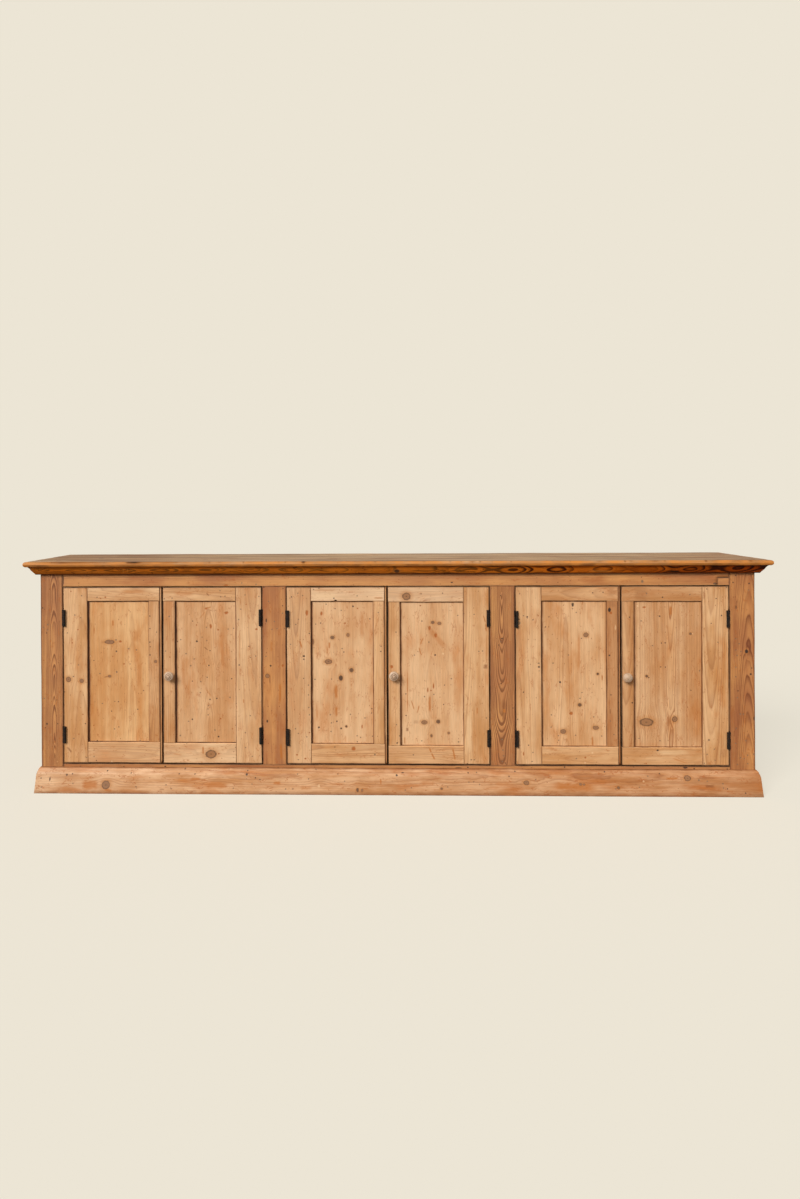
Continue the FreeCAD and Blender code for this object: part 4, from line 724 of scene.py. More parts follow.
# Points and faces of a block cut along lines; also each face's axis and side
def latticeBlock(lines):
    counts = [len(line) for line in lines]
    quads, axes, sides = [], [], []
    for axis in range(3):
        b, c = (axis + 1) % 3, (axis + 2) % 3
        gridB, gridC = np.meshgrid(np.arange(counts[b] - 1), np.arange(counts[c] - 1), indexing="ij")
        for side in (0, 1):
            corners = []
            for stepB, stepC in ((0, 0), (1, 0), (1, 1), (0, 1)):
                index = [None, None, None]
                index[axis] = np.full(gridB.size, side * (counts[axis] - 1))
                index[b] = gridB.ravel() + stepB
                index[c] = gridC.ravel() + stepC
                corners.append((index[0] * counts[1] + index[1]) * counts[2] + index[2])
            if side == 0:
                corners.reverse()
            quads.append(np.stack(corners, axis=1))
            axes.append(np.full(gridB.size, axis))
            sides.append(np.full(gridB.size, side))
    quads = np.concatenate(quads)
    keys, faces = np.unique(quads, return_inverse=True)
    index = keys // (counts[1] * counts[2]), keys // counts[2] % counts[1], keys % counts[2]
    points = np.stack([lines[axis][index[axis]] for axis in range(3)], axis=1)
    return points, faces.reshape(quads.shape), np.concatenate(axes), np.concatenate(sides)


def wave(along, sideways, random, size):
    total = np.zeros_like(along)
    for length, part in boardLook["waves"]:
        turnU = 1 / (length * random.uniform(0.8, 1.25))
        turnV = random.uniform(1.5, 3.5) / length
        total += part * np.sin(2 * math.pi * (along * turnU + sideways * turnV + random.uniform()))
    return size * total


# For each face, its corners measured from the nearest feature in half sizes of that feature.
# A feature is (u, v, half size along, half size across, turn, extra).
def nearestFeature(cornerU, cornerV, features):
    result = np.full(cornerU.shape + (3,), boardLook["markless"])
    result[..., 2] = 0.0
    if not len(features):
        return result
    features = np.array(features, float)
    offU = cornerU[:, :, None] - features[:, 0]
    offV = cornerV[:, :, None] - features[:, 1]
    cosTurn, sinTurn = np.cos(features[:, 4]), np.sin(features[:, 4])
    shareU = (offU * cosTurn + offV * sinTurn) / features[:, 2]
    shareV = (offV * cosTurn - offU * sinTurn) / features[:, 3]
    chosen = np.hypot(shareU.mean(1), shareV.mean(1)).argmin(1)
    rows = np.arange(len(chosen))
    result[..., 0] = shareU[rows, :, chosen]
    result[..., 1] = shareV[rows, :, chosen]
    result[..., 2] = features[chosen, 5][:, None]
    return result


# Marks of the photograph that fall on a flat face, in the board's own directions
speckKinds = {"dark": 0.9, "orange": 1.9, "grey": 2.9, "pale": 3.45}      # kind, then strength after the point


def seenOn(low, high, run, side, axis, place):
    found = {"knots": [], "streaks": [], "specks": [], "chips": []}
    upright = 2 if axis == 1 else 1

    def measure(x, y, width, height, margin=0.0):
        spot = onFace(x, y, axis, place)
        wide = abs(onFace(x + width / 2, y, axis, place)[0] - spot[0])
        tall = abs(onFace(x, y + height / 2, axis, place)[upright] - spot[upright])
        within = all(low[way] - margin < spot[way] < high[way] + margin for way in (run, side))
        return spot, (wide, tall) if run == 0 else (tall, wide), within

    for board in marksSeen.values():
        for x, y, width, height, tone in board.get("knots", ()):
            spot, (halfRun, halfSide), within = measure(x, y, width, height)
            if within:
                extraPart = tone + min(halfSide, 0.02)
                found["knots"].append((spot[run], spot[side], halfRun, halfSide, 0.0, extraPart))
        for kind, number in speckKinds.items():
            for x, y, *size in board.get(kind, ()):
                width, height = (size + size if len(size) == 1 else size) or (1.4, 1.4)
                spot, (halfRun, halfSide), within = measure(x, y, width, height)
                if within:
                    found["specks"].append((spot[run], spot[side], halfRun, halfSide, 0.0, number))
        for x0, y0, x1, y1, width, kind in board.get("streaks", ()):
            away = onFace(x1, y1, axis, place) - onFace(x0, y0, axis, place)
            spot, halves, within = measure((x0 + x1) / 2, (y0 + y1) / 2, width, width)
            if within:
                length = away.length / 2 + halves[0] * 0.6
                found["streaks"].append((spot[run], spot[side], length, max(halves) * 1.35,
                                         math.atan2(away[side], away[run]), kind))
    for x, y, length, depth in chipsSeen:
        spot, halves, within = measure(x, y, length, depth, 0.002)
        edge = low[side] if spot[side] - low[side] < high[side] - spot[side] else high[side]
        if within and abs(spot[side] - edge) < boardLook["chipNear"]:
            found["chips"].append((spot[run], edge, max(halves), min(halves) * 2))
    return found


# Knots and specks strewn by chance, so many to a square metre
def strewn(random, low, high, run, side, wild):
    area = (high[run] - low[run]) * (high[side] - low[side])
    knots, specks = [], []
    for _ in range(random.poisson(wild * area)):
        size = random.uniform(*boardLook["knotSize"])
        knots.append((random.uniform(low[run], high[run]), random.uniform(low[side], high[side]), size,
                      size * random.uniform(0.7, 1.0), 0.0, random.integers(0, 7) + min(size, 0.02)))
    for _ in range(random.poisson(wild * area * 1.5)):
        size = random.uniform(*boardLook["speckSize"])
        specks.append((random.uniform(low[run], high[run]), random.uniform(low[side], high[side]), size, size,
                       0.0, random.choice(boardLook["speckTones"])))
    return knots, specks


# Dirt and painted shade in the joints, the recesses and the gaps, and wear with painted highlights on the
# arrises
def boardAgeAndPaintedLight(distances, fromOuter, arris, tucked, dust, dirt, dirtWide, worn, gap):
    grime = np.full(len(fromOuter), float(dust))
    onArris = np.zeros(len(fromOuter))
    nearFace = np.interp(fromOuter, *boardLook["faceDirt"])
    inGapShade = np.interp(fromOuter, (arris * 0.45, arris * 1.05 + 0.0001, *boardLook["gapFade"]),
                      (0, 1, 1, boardLook["gapDeep"]))
    settings = (np.broadcast_to(setting, 4) for setting in (dirt, dirtWide, worn, gap))
    for distance, strength, width, wearAndHighlightStrength, black in zip(distances, *settings):
        fromEdge = np.clip(distance - tucked, 0, None)
        # Dirt near the edges, which beside the gaps, the panels' recesses and the bead's quirk is painted shade
        grime = np.maximum(grime, strength * nearFace * np.exp(-(fromEdge / width) ** 2.2))
        # Painted shade on the faces that stand in a gap
        grime = np.maximum(grime, black * inGapShade * (distance < 1e-6))
        # Wear on the arrises, which is also a painted highlight
        onArris = np.maximum(onArris, wearAndHighlightStrength * np.exp(-(distance / (arris * 1.1 + 1e-5)) ** 2))
    return grime, onArris * (fromOuter < arris * 2.5)


# Adds a board to a piece. The grain runs along the run axis and the thin side faces the outer way.
# Dirt with painted shade, its width, wear with painted highlights and the painted shade in the gaps are one
# value, or four: low end, high end, low edge, high edge.
def addBoard(piece, name, low, high, run, thin, outer, log=None, arris=0.0013, butt=0.0006, step=0.013,
             ripple=0.00022, wander=0.0004, dirt=0, dirtWide=0.004, tucked=0.0, dust=0.0, gap=0, worn=0.35,
             wild=0.0, marks=True, pockets=(), lines=None, shape=None, ageing=None):
    low, high = np.array(low, float), np.array(high, float)
    side = 3 - run - thin
    random = np.random.default_rng(zlib.crc32(name.encode()))
    anyLog = {"pith": random.uniform(-0.05, 0.05), "depth": random.uniform(0.035, 0.12),
              "tilt": random.choice([-1, 1]) * random.uniform(0.008, 0.03),
              "ring": random.uniform(0.0026, 0.0042), "contrast": random.uniform(0.35, 0.6),
              "tint": random.uniform(-0.25, 0.25), "sway": 0.0}
    log = dict(anyLog, **(log or {}))
    seen = {"knots": [], "streaks": [], "specks": [], "chips": []}
    if marks and (thin == 1 and outer < 0 or thin == 2 and outer > 0):
        seen = seenOn(low, high, run, side, thin, low[1] if thin == 1 else high[2])
    extra = extraLines(low, high, run, side, pockets, seen["chips"], tucked)
    lines = dict(lines or {})
    for axis in {0, 1, 2} - set(lines):
        lines[axis] = cutLines(low[axis], high[axis], step if axis != thin else 1.0, arris, extra[axis])
    points, faces, axes, sides = latticeBlock([lines[axis] for axis in range(3)])
    plain = points.copy()
    u, v = plain[:, run], plain[:, side]
    fromOuter = plain[:, thin] - low[thin] if outer < 0 else high[thin] - plain[:, thin]
    distances = u - low[run], high[run] - u, v - low[side], high[side] - v
    middleU, middleV = (low[run] + high[run]) / 2, (low[side] + high[side]) / 2

    # Notches
    weld = boardLook["weld"]
    for pocketLow, pocketHigh, axis, to in pockets:
        held = np.ones(len(points), bool)
        for other in {0, 1, 2} - {axis}:
            held &= (plain[:, other] > pocketLow[other] - weld) & (plain[:, other] < pocketHigh[other] + weld)
        inward = points[:, axis] < to if to > (pocketLow[axis] + pocketHigh[axis]) / 2 else points[:, axis] > to
        points[held & inward, axis] = to

    # Worn arrises, then the plane's waves on the face, edges that wander, and chips
    fromEnd = np.minimum(*distances[:2]) / boardLook["endEase"]
    keen = np.clip(wave(u, v, random, boardLook["keenness"]) + 1.0, *boardLook["keenest"])
    soft = np.where(fromEnd < 1, butt + (arris - butt) * np.clip(fromEnd, 0, 1), arris) * keen
    if arris > 0:
        near = np.clip(points, low + soft[:, None], high - soft[:, None])
        off = points - near
        length = np.linalg.norm(off, axis=1)
        outside = length > 1e-9
        points[outside] = near[outside] + off[outside] * (soft[outside] / length[outside])[:, None]
    across = np.clip((v - low[side]) / (high[side] - low[side]), 0, 1)
    points[:, thin] += wave(u, v, random, ripple) * (fromOuter < (high[thin] - low[thin]) / 2)
    lowEdge, highEdge = wave(u, v * 0, random, wander), wave(u, v * 0, random, wander)
    points[:, side] += lowEdge * (1 - across) + highEdge * across
    for chipRun, chipSide, length, depth in seen["chips"]:
        gone = depth * np.clip(1 - ((u - chipRun) / length) ** 2, 0, 1) - np.abs(v - chipSide)
        hit = (gone > 0) & (fromOuter < depth * 1.5)
        points[hit, side] += gone[hit] if chipSide < middleV else -gone[hit]
        points[hit, thin] -= outer * gone[hit] * 0.5
    if shape:
        points = shape(points, plain)

    # What the finish reads: place in the log, dirt and wear with painted shade and highlights, marks, ring
    # width, contrast and tint
    grain = np.stack([u + random.uniform(0, 40), v - middleV - log["pith"],
                      fromOuter + log["depth"] + log["tilt"] * (u - middleU)
                      + log["sway"] * np.sin(u * boardLook["swayTurns"])], axis=1)
    grime, onArris = boardAgeAndPaintedLight(distances, fromOuter, arris, tucked, dust, dirt, dirtWide, worn, gap)
    if ageing:
        grime, onArris = ageing(plain, grime, onArris)
    moreKnots, moreSpecks = strewn(random, low, high, run, side, wild)
    cornerU, cornerV = u[faces], v[faces]
    knot = nearestFeature(cornerU, cornerV, seen["knots"] + moreKnots)
    streak = nearestFeature(cornerU, cornerV, seen["streaks"])
    speck = nearestFeature(cornerU, cornerV, seen["specks"] + moreSpecks)
    onFront = (axes == thin) & (sides == (0 if outer < 0 else 1))
    for mark in (streak, speck):
        mark[~onFront, :, 0] = boardLook["markless"]
    tints = np.atleast_1d(log["tint"])
    tint = np.interp(u, np.linspace(low[run], high[run], len(tints)), tints)
    gather(piece, points=points, faces=faces + sum(len(part) for part in piece["points"]), grain=grain,
           age=np.stack([grime, onArris, grime * 0], axis=1),
           knot=knot.reshape(-1, 3), streak=streak.reshape(-1, 3), speck=speck.reshape(-1, 3),
           board=np.stack([np.full(len(u), log["ring"]), np.full(len(u), log["contrast"]), tint], axis=1))


# A piece whose points and faces are given, with one ring width, contrast and tint, and no marks but the specks
def wholePiece(points, faces, grain, grime, board, specks=()):
    piece = newPiece()
    corners = points[faces]
    bare = nearestFeature(corners[:, :, 0], corners[:, :, 2], ()).reshape(-1, 3)
    speck = nearestFeature(corners[:, :, 0], corners[:, :, 2], specks).reshape(-1, 3)
    gather(piece, points=points, faces=faces, grain=grain, knot=bare, streak=bare, speck=speck,
           age=np.stack([grime, grime * 0, grime * 0], axis=1), board=np.tile(board, (len(points), 1)))
    return piece


# Turns the gathered boards into one object that stands for their node and rides on its body
def finishPiece(node, piece, material, body="case"):
    faces = np.concatenate(piece["faces"])
    mesh = bpy.data.meshes.new(node + "_finish")
    mesh.from_pydata(np.concatenate(piece["points"]).tolist(), [], faces.tolist())
    for key, domain in (("grain", "POINT"), ("age", "POINT"), ("board", "POINT"),
                        ("knot", "CORNER"), ("streak", "CORNER"), ("speck", "CORNER")):
        layer = mesh.attributes.new(key, "FLOAT_VECTOR", domain)
        layer.data.foreach_set("vector", np.concatenate(piece[key]).astype(np.float32).ravel())
    mesh.polygons.foreach_set("use_smooth", np.ones(len(faces), bool))
    mesh.materials.append(material)
    mesh.update()
    thing = bpy.data.objects.new(node + "_finish", mesh)
    scene.collection.objects.link(thing)
    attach(thing, body)
    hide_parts(node)


# Places that the frame gives
leftStile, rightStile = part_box("corner_stile_left"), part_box("corner_stile_right")
caseLeft, caseRight = leftStile[0].x, rightStile[1].x
front, frameBack = leftStile[0].y, leftStile[1].y
caseTop = leftStile[1].z
topFront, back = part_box("top_board_front")[0].y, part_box("top_board_back")[1].y
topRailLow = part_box("face_top_rail")[0].z
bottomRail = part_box("face_bottom_rail")
hingePins = solidBoxes("hinge_pins")

# Top: three boards edge to edge, with a worn round nosing along the front and both ends
topBoards = {
    # The nosing's wear carries a painted highlight, and the darkening under its edge is painted shade
    "nosing": 0.0092, "edgeHalf": 0.0009, "step": 0.014, "edgeWear": 0.9, "underDirt": 0.9,
    "nosingCuts": (0, 0.04, 0.12, 0.25, 0.42, 0.65, 1.0),       # cut lines, in widths of the nosing
    # dark dents along the nosing: x in the photograph, length there, strength
    "dents": ((133.5, 15, 1.2), (128, 6, 0.9), (303, 4, 1.3), (51, 2.5, 0.6), (95, 2, 0.4), (103.5, 2, 0.5),
              (162, 9, 0.4), (176, 5, 0.45), (209, 3, 0.5), (219, 6, 0.35), (243, 2.5, 0.6), (250, 14, 0.35),
              (278, 3, 0.4), (285, 2, 0.5), (375, 3, 0.45), (424, 4, 0.4), (450, 4, 0.35), (461, 2, 0.5),
              (472, 8, 0.4), (480, 3, 0.5), (492, 2, 0.4), (511, 2, 0.5), (570, 2, 0.5), (600, 9, 0.45),
              (625, 2.5, 0.8), (631, 5, 0.4), (655, 10, 0.4), (665, 3, 0.45), (706, 3, 0.8), (716, 11, 0.45),
              (738, 12, 0.4), (751, 4, 0.6), (60, 16, 0.35), (205, 18, 0.3), (72, 84, 0.75), (165, 70, 0.45)),
    "dentCuts": (-1.3, -1, -0.6, 0, 0.6, 1, 1.3),
    "dentInset": ((0.0, 0.0012, 0.0060, 0.0120), (0.25, 0.7, 1.0, 0.4)),    # inset from the edge, share there
    "dentUnder": 0.3, "dentDull": 0.9,
    "logs": {
        "top_board_front": {"pith": 0.03, "depth": 0.045, "tilt": 0.012, "ring": 0.0085, "contrast": 1.3,
                            "tint": (-0.3, -0.35, 0.1, 0.0, 0.1, 0.05, 0.05, -0.45)},
        "top_board_middle": {"pith": -0.04, "depth": 0.06, "tilt": -0.010, "ring": 0.0095, "contrast": 1.3,
                             "tint": (-0.4, -0.3, 0.1, 0.05, 0.15, 0.05, 0.05, -0.5)},
        "top_board_back": {"pith": 0.02, "depth": 0.05, "tilt": 0.014, "ring": 0.0090, "contrast": 1.2,
                           "tint": (-0.2, -0.5, 0.1, 0.0, 0.1, 0.1, 0.05, -0.55)},
    },
}
nosing, edgeHalf = topBoards["nosing"], topBoards["edgeHalf"]
dents = []
for x, length, strength in topBoards["dents"]:
    start, end = (onFace(x + part * length, photo["axisY"], 1, topFront)[0] for part in (-0.5, 0.5))
    dents.append(((start + end) / 2, (end - start) / 2, strength))
dentLines = [place + half * share for place, half, strength in dents for share in topBoards["dentCuts"]]
for name, log in topBoards["logs"].items():
    low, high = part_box(name)
    middleZ, halfThick = (low.z + high.z) / 2, (high.z - low.z) / 2
    nosed = name == "top_board_front"

    def fromEdges(plain):
        inset = np.minimum(plain[:, 0] - low.x, high.x - plain[:, 0])
        return np.minimum(inset, plain[:, 1] - low.y) if nosed else inset

    def roundNosing(points, plain):
        share = np.clip(fromEdges(plain) / nosing, 0, 1)
        half = edgeHalf + (halfThick - edgeHalf) * np.sqrt(1 - (1 - share) ** 2)
        points[:, 2] = middleZ + (points[:, 2] - middleZ) * half / halfThick
        return points

    # Dark dents along the nosing, painted shade under its edge, and wear with a painted highlight over it
    def nosingAgeAndPaintedLight(plain, grime, onArris):
        inset = fromEdges(plain)
        bare = np.full(len(plain), topBoards["edgeWear"])
        lip = np.interp(inset, *topBoards["dentInset"])
        lip = lip * np.where(plain[:, 2] > middleZ, 1, topBoards["dentUnder"])
        for place, half, strength in dents if nosed else ():
            dent = strength * lip * np.exp(-((plain[:, 0] - place) / half) ** 2)
            grime = np.maximum(grime, dent * (1 - np.clip(inset / nosing - 0.5, 0, 1)))
            bare *= 1 - topBoards["dentDull"] * np.clip(dent, 0, 1)
        # Painted shade under the nosing's edge
        under = np.clip((high.z - plain[:, 2]) / (high.z - low.z) - 0.55, 0, 1)
        grime = np.maximum(grime, topBoards["underDirt"] * under * (inset < nosing * 2.2))
        return grime, np.maximum(onArris * bare, bare * (1 - np.clip(inset / nosing - 0.6, 0, 1)))

    insets = [nosing * share for share in topBoards["nosingCuts"]]
    endLines = [low.x + inset for inset in insets] + [high.x - inset for inset in insets]
    linesX = np.unique(np.concatenate([cutLines(low.x + 0.01, high.x - 0.01, topBoards["step"], 0.001),
                                       endLines, dentLines if nosed else []]))
    linesY = cutLines(low.y, high.y, topBoards["step"], 0.001, [low.y + inset for inset in insets if nosed])
    top = newPiece()
    addBoard(top, name, low, high, 0, 2, 1, log, arris=0.0008, butt=0.0, ripple=0.0005, wander=0.0004,
             dirt=(0, 0, 0 if nosed else 0.5, 0.5 if name != "top_board_back" else 0), dirtWide=0.0025,
             lines={0: linesX, 1: linesY}, shape=roundNosing, ageing=nosingAgeAndPaintedLight, wild=6.0)
    finishPiece(name, top, pineTop)
print("top made")

# Moulding under the top, and the moulded plinth: each a front length and two mitred returns.
# A profile is a list of heights and how far the face stands out there, from the bottom up.
moulding = {
    "profile": [(0.8493, 0.0130), (0.8496, 0.0146), (0.8506, 0.0158), (0.8529, 0.0166), (0.8560, 0.0196),
                (0.8600, 0.0228), (0.8640, 0.0262), (0.8680, 0.0290), (0.8700, 0.0298), (0.8725, 0.0313),
                (0.8750, 0.0332), (0.8775, 0.0358), (0.8800, 0.0390)],
    "log": {"pith": 0.002, "depth": 0.030, "tilt": 0.02, "ring": 0.0030, "contrast": 2.3,
            "tint": (0.16, 0.2, 0.3, 0.2, -0.25, -1.1), "sway": 0.0022},
    "age": {"ripple": 0.0002, "dirt": (0, 0, 0.55, 0.0)},
}
plinth = {
    "profile": [(0.0, 0.0230), (0.0012, 0.0229), (0.020, 0.0210), (0.040, 0.0190), (0.060, 0.0170),
                (0.0735, 0.0156), (0.0745, 0.0154), (0.0760, 0.0146), (0.0785, 0.0137), (0.0815, 0.0130),
                (0.0838, 0.0125), (0.0842, 0.0107), (0.0865, 0.0104), (0.0895, 0.0096), (0.0930, 0.0079),
                (0.0960, 0.0056), (0.0985, 0.0028), (0.0990, 0.0020)],
    "log": {"pith": 0.02, "depth": 0.05, "tilt": 0.010, "ring": 0.0044, "contrast": 0.6,
            "tint": (0.1, -0.15, -0.45)},
    "age": {"ripple": 0.0004, "dirt": (0, 0, 0.35, 0.4)},
}
for stem, settings, material, slot in (("top_moulding", moulding, pineMoulding, "pine_moulding"),
                                       ("plinth", plinth, pinePlinth, "pine_plinth")):
    heights, outs = np.array(settings["profile"]).T
    reach, bottom, top = outs.max(), heights[0], heights[-1]
    frontStrip, returns = newPiece(), newPiece()
    leftCorner, rightBack = (caseLeft - reach, front - reach, bottom), (caseRight + reach, back, top)
    for piece, end, run, side, low, high, away, mitreHigh in (
            (frontStrip, "_front", 0, 1, leftCorner, (caseRight + reach, front, top), -1, 1),
            (returns, "_return_left", 1, 0, leftCorner, (caseLeft, back, top), -1, 0),
            (returns, "_return_right", 1, 0, (caseRight, front - reach, bottom), rightBack, 1, 0)):
        name = stem + end
        start = high[side] if away < 0 else low[side]
        log = dict(settings["log"])
        if run == 1:
            random = np.random.default_rng(zlib.crc32(name.encode()))
            log.update(pith=random.uniform(-0.03, 0.03), tilt=random.uniform(0.01, 0.04))

        # Bends a block to the profile and shears its ends to the mitres
        def bulge(points, plain):
            share = np.clip((plain[:, side] - start) * away / reach, 0, 1)
            deep = np.interp(plain[:, 2], heights, outs) * share
            points[:, side] = start + away * deep + (points[:, side] - plain[:, side])
            first, last = plain[:, run].min(), plain[:, run].max()
            part = (plain[:, run] - first) / (last - first)
            lowEnd, highEnd = first + reach - deep, last - reach * mitreHigh + mitreHigh * deep
            points[:, run] = lowEnd * (1 - part) + highEnd * part
            return points

        lines = {2: heights, side: np.linspace(low[side], high[side], 4),
                 run: cutLines(low[run], high[run], 0.012, 0.001)}
        addBoard(piece, name, low, high, run, side, away, log, arris=0.0, butt=0.0, wander=0.0, lines=lines,
                 shape=bulge, **settings["age"])
    finishPiece(stem + "_front", frontStrip, material)
    finishPiece(stem + "_returns", returns, material)
print("mouldings made")

# Face frame
faceFrame = {
    "logs": {
        "corner_stile_left": {"pith": 0.009, "depth": 0.017, "tilt": 0.042, "ring": 0.0026, "contrast": 2.7,
                              "tint": 0.12, "sway": 0.0012},
        "corner_stile_right": {"pith": 0.022, "depth": 0.060, "tilt": 0.035, "ring": 0.0030, "contrast": 0.95,
                               "tint": -0.18},
        "pier_left": {"pith": -0.03, "depth": 0.05, "tilt": 0.012, "ring": 0.0034, "contrast": 0.5,
                      "tint": 0.05},
        "pier_right": {"pith": -0.002, "depth": 0.026, "tilt": -0.075, "ring": 0.0036, "contrast": 3.2,
                       "tint": 0.14, "sway": 0.0015},
        "face_top_rail": {"pith": 0.02, "depth": 0.05, "tilt": 0.004, "ring": 0.0040, "contrast": 0.5,
                          "tint": (0.0, 0.08, 0.26, 0.02, -0.1)},
        "rail_patch": {"tint": 0.12, "contrast": 0.3},
        "face_bottom_rail": {"pith": 0.0, "depth": 0.05, "tilt": 0.004, "ring": 0.003, "contrast": 0.4,
                             "tint": (-0.1, 0.05, 0.2)},
    },
    "gap": 1.6,                                # the painted shade on the edges in the gaps round the doors
    "leafThick": 0.0024, "leafWidth": 0.019,
    "pinNear": 0.01,                           # a hinge's pin is this near the edge that it belongs to
    # the patch let in at the rail's right end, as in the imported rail
    "patchLow": (1.2355, 0.8018), "patchHigh": (1.2795, 0.8318), "patchDeep": 0.007,
}


# Notches for the hinge leaves let into an upright's edge
def hingePockets(edgeX, inwardX):
    pockets = []
    past = faceFrame["pinNear"]
    for low, high in hingePins:
        if abs((low[0] + high[0]) / 2 - edgeX) < past:
            to = edgeX + inwardX * faceFrame["leafThick"]
            pocketLow = (min(edgeX, to) - past * (inwardX > 0), front - past, low[2])
            pocketHigh = (max(edgeX, to) + past * (inwardX < 0), front + faceFrame["leafWidth"], high[2])
            pockets.append((pocketLow, pocketHigh, 0, to))
    return pockets


frameLogs, frameGapShade = faceFrame["logs"], faceFrame["gap"]
for name in ("corner_stile_left", "corner_stile_right", "pier_left", "pier_right"):
    low, high = (np.array(corner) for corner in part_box(name))
    if "pier" in name:
        low[2], high[2] = bottomRail[1].z, topRailLow
    besideDoor = [0.0 if "stile_left" in name else frameGapShade, 0.0 if "stile_right" in name else frameGapShade]
    pockets = hingePockets(low[0], 1) + hingePockets(high[0], -1)
    upright = newPiece()
    addBoard(upright, name, low, high, 2, 1, -1, frameLogs[name], dirt=(0.4, 0.6, 0.7, 0.7), dirtWide=0.003,
             gap=(0, 0, *besideDoor), pockets=pockets, wander=0.0006)
    finishPiece(name, upright, pineFrame)
low, high = (leftStile[1].x, front, topRailLow), (rightStile[0].x, frameBack, caseTop)
patchLow = np.array((faceFrame["patchLow"][0], front, faceFrame["patchLow"][1]))
patchHigh = np.array((faceFrame["patchHigh"][0], front + faceFrame["patchDeep"], faceFrame["patchHigh"][1]))
rail = newPiece()
# The rail's lower arris is worn with a painted highlight, and its dirt under the moulding is also painted shade
addBoard(rail, "face_top_rail", low, high, 0, 1, -1, frameLogs["face_top_rail"], dirt=(0.8, 0.8, 0.0, 0.75),
         dirtWide=0.003, gap=frameGapShade, worn=(0.3, 0.3, 0.9, 0.9), arris=0.0020, wander=0.0007,
         pockets=[(patchLow, patchHigh + np.array([0.01, 0, 0]), 1, patchHigh[1])])
addBoard(rail, "rail_patch", patchLow, patchHigh, 0, 1, -1, frameLogs["rail_patch"], dirt=(0.6, 0.6, 0, 0.9),
         dirtWide=0.002)
finishPiece("face_top_rail", rail, pineFrame)
low, high = (leftStile[1].x, front, bottomRail[0].z), (rightStile[0].x, frameBack, bottomRail[1].z)
rail = newPiece()
addBoard(rail, "face_bottom_rail", low, high, 0, 1, -1, frameLogs["face_bottom_rail"], dirt=(0.4, 0.4, 0, 0.5),
         dirtWide=0.0025, dust=0.12, gap=frameGapShade)
finishPiece("face_bottom_rail", rail, pineFrame)
print("face frame made")

# Case, seen from the sides, the back, above and through the open doors
caseBoards = {
    # node: grain axis, thin axis, outer side, finish, slot
    "end_panel_left": (2, 0, -1, pineFrame, "pine_frame"),
    "end_panel_right": (2, 0, 1, pineFrame, "pine_frame"),
    "partitions": (2, 0, -1, pineInside, "pine_inside"),
    "back_boards": (2, 1, 1, pineBack, "pine_inside"),
    "back_rails": (0, 1, -1, pineInside, "pine_inside"),
    "floor_boards": (0, 2, 1, pineInside, "pine_inside"),
    "shelves": (0, 2, 1, pineInside, "pine_inside"),
    "bearers": (1, 0, -1, pineInside, "pine_inside"),
}
caseStep = 0.02
backTongue = {"lap": 0.0004, "half": 0.002, "dust": 0.45, "tint": -0.5}
for node, (run, thin, outer, material, slot) in caseBoards.items():
    piece = newPiece()
    boards = solidBoxes(node)
    for number, (low, high) in enumerate(boards):
        addBoard(piece, f"{node}_{number}", low, high, run, thin, outer, step=caseStep, wild=14.0, marks=False,
                 dirt=0.3, dirtWide=0.006)
    # A loose tongue stands in the gap between each two back boards
    gaps = zip(boards, boards[1:]) if node == "back_boards" else ()
    for number, ((low, high), (nextLow, _)) in enumerate(gaps):
        middleY = (low[1] + high[1]) / 2
        tongueLow = high[0] - backTongue["lap"], middleY - backTongue["half"], low[2]
        tongueHigh = nextLow[0] + backTongue["lap"], middleY + backTongue["half"], high[2]
        addBoard(piece, f"back_tongue_{number}", tongueLow, tongueHigh, run, thin, outer,
                 {"tint": backTongue["tint"]}, step=caseStep, marks=False, dust=backTongue["dust"])
    finishPiece(node, piece, material)

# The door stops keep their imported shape, with the holes that the bolts go up into
doorStops = {"heart": (0.0, -0.83, 0.27), "ring": 0.0034, "contrast": 0.5, "dust": 0.12}
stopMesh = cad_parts["door_stops"].data
points = np.array([tuple(vert.co) for vert in stopMesh.vertices])
faces = np.array([tuple(face.vertices) for face in stopMesh.polygons])
stops = wholePiece(points, faces, points[:, [0, 2, 1]] + doorStops["heart"],
                   np.full(len(points), doorStops["dust"]), [doorStops["ring"], doorStops["contrast"], 0.0])
finishPiece("door_stops", stops, pineInside)
print("case made")

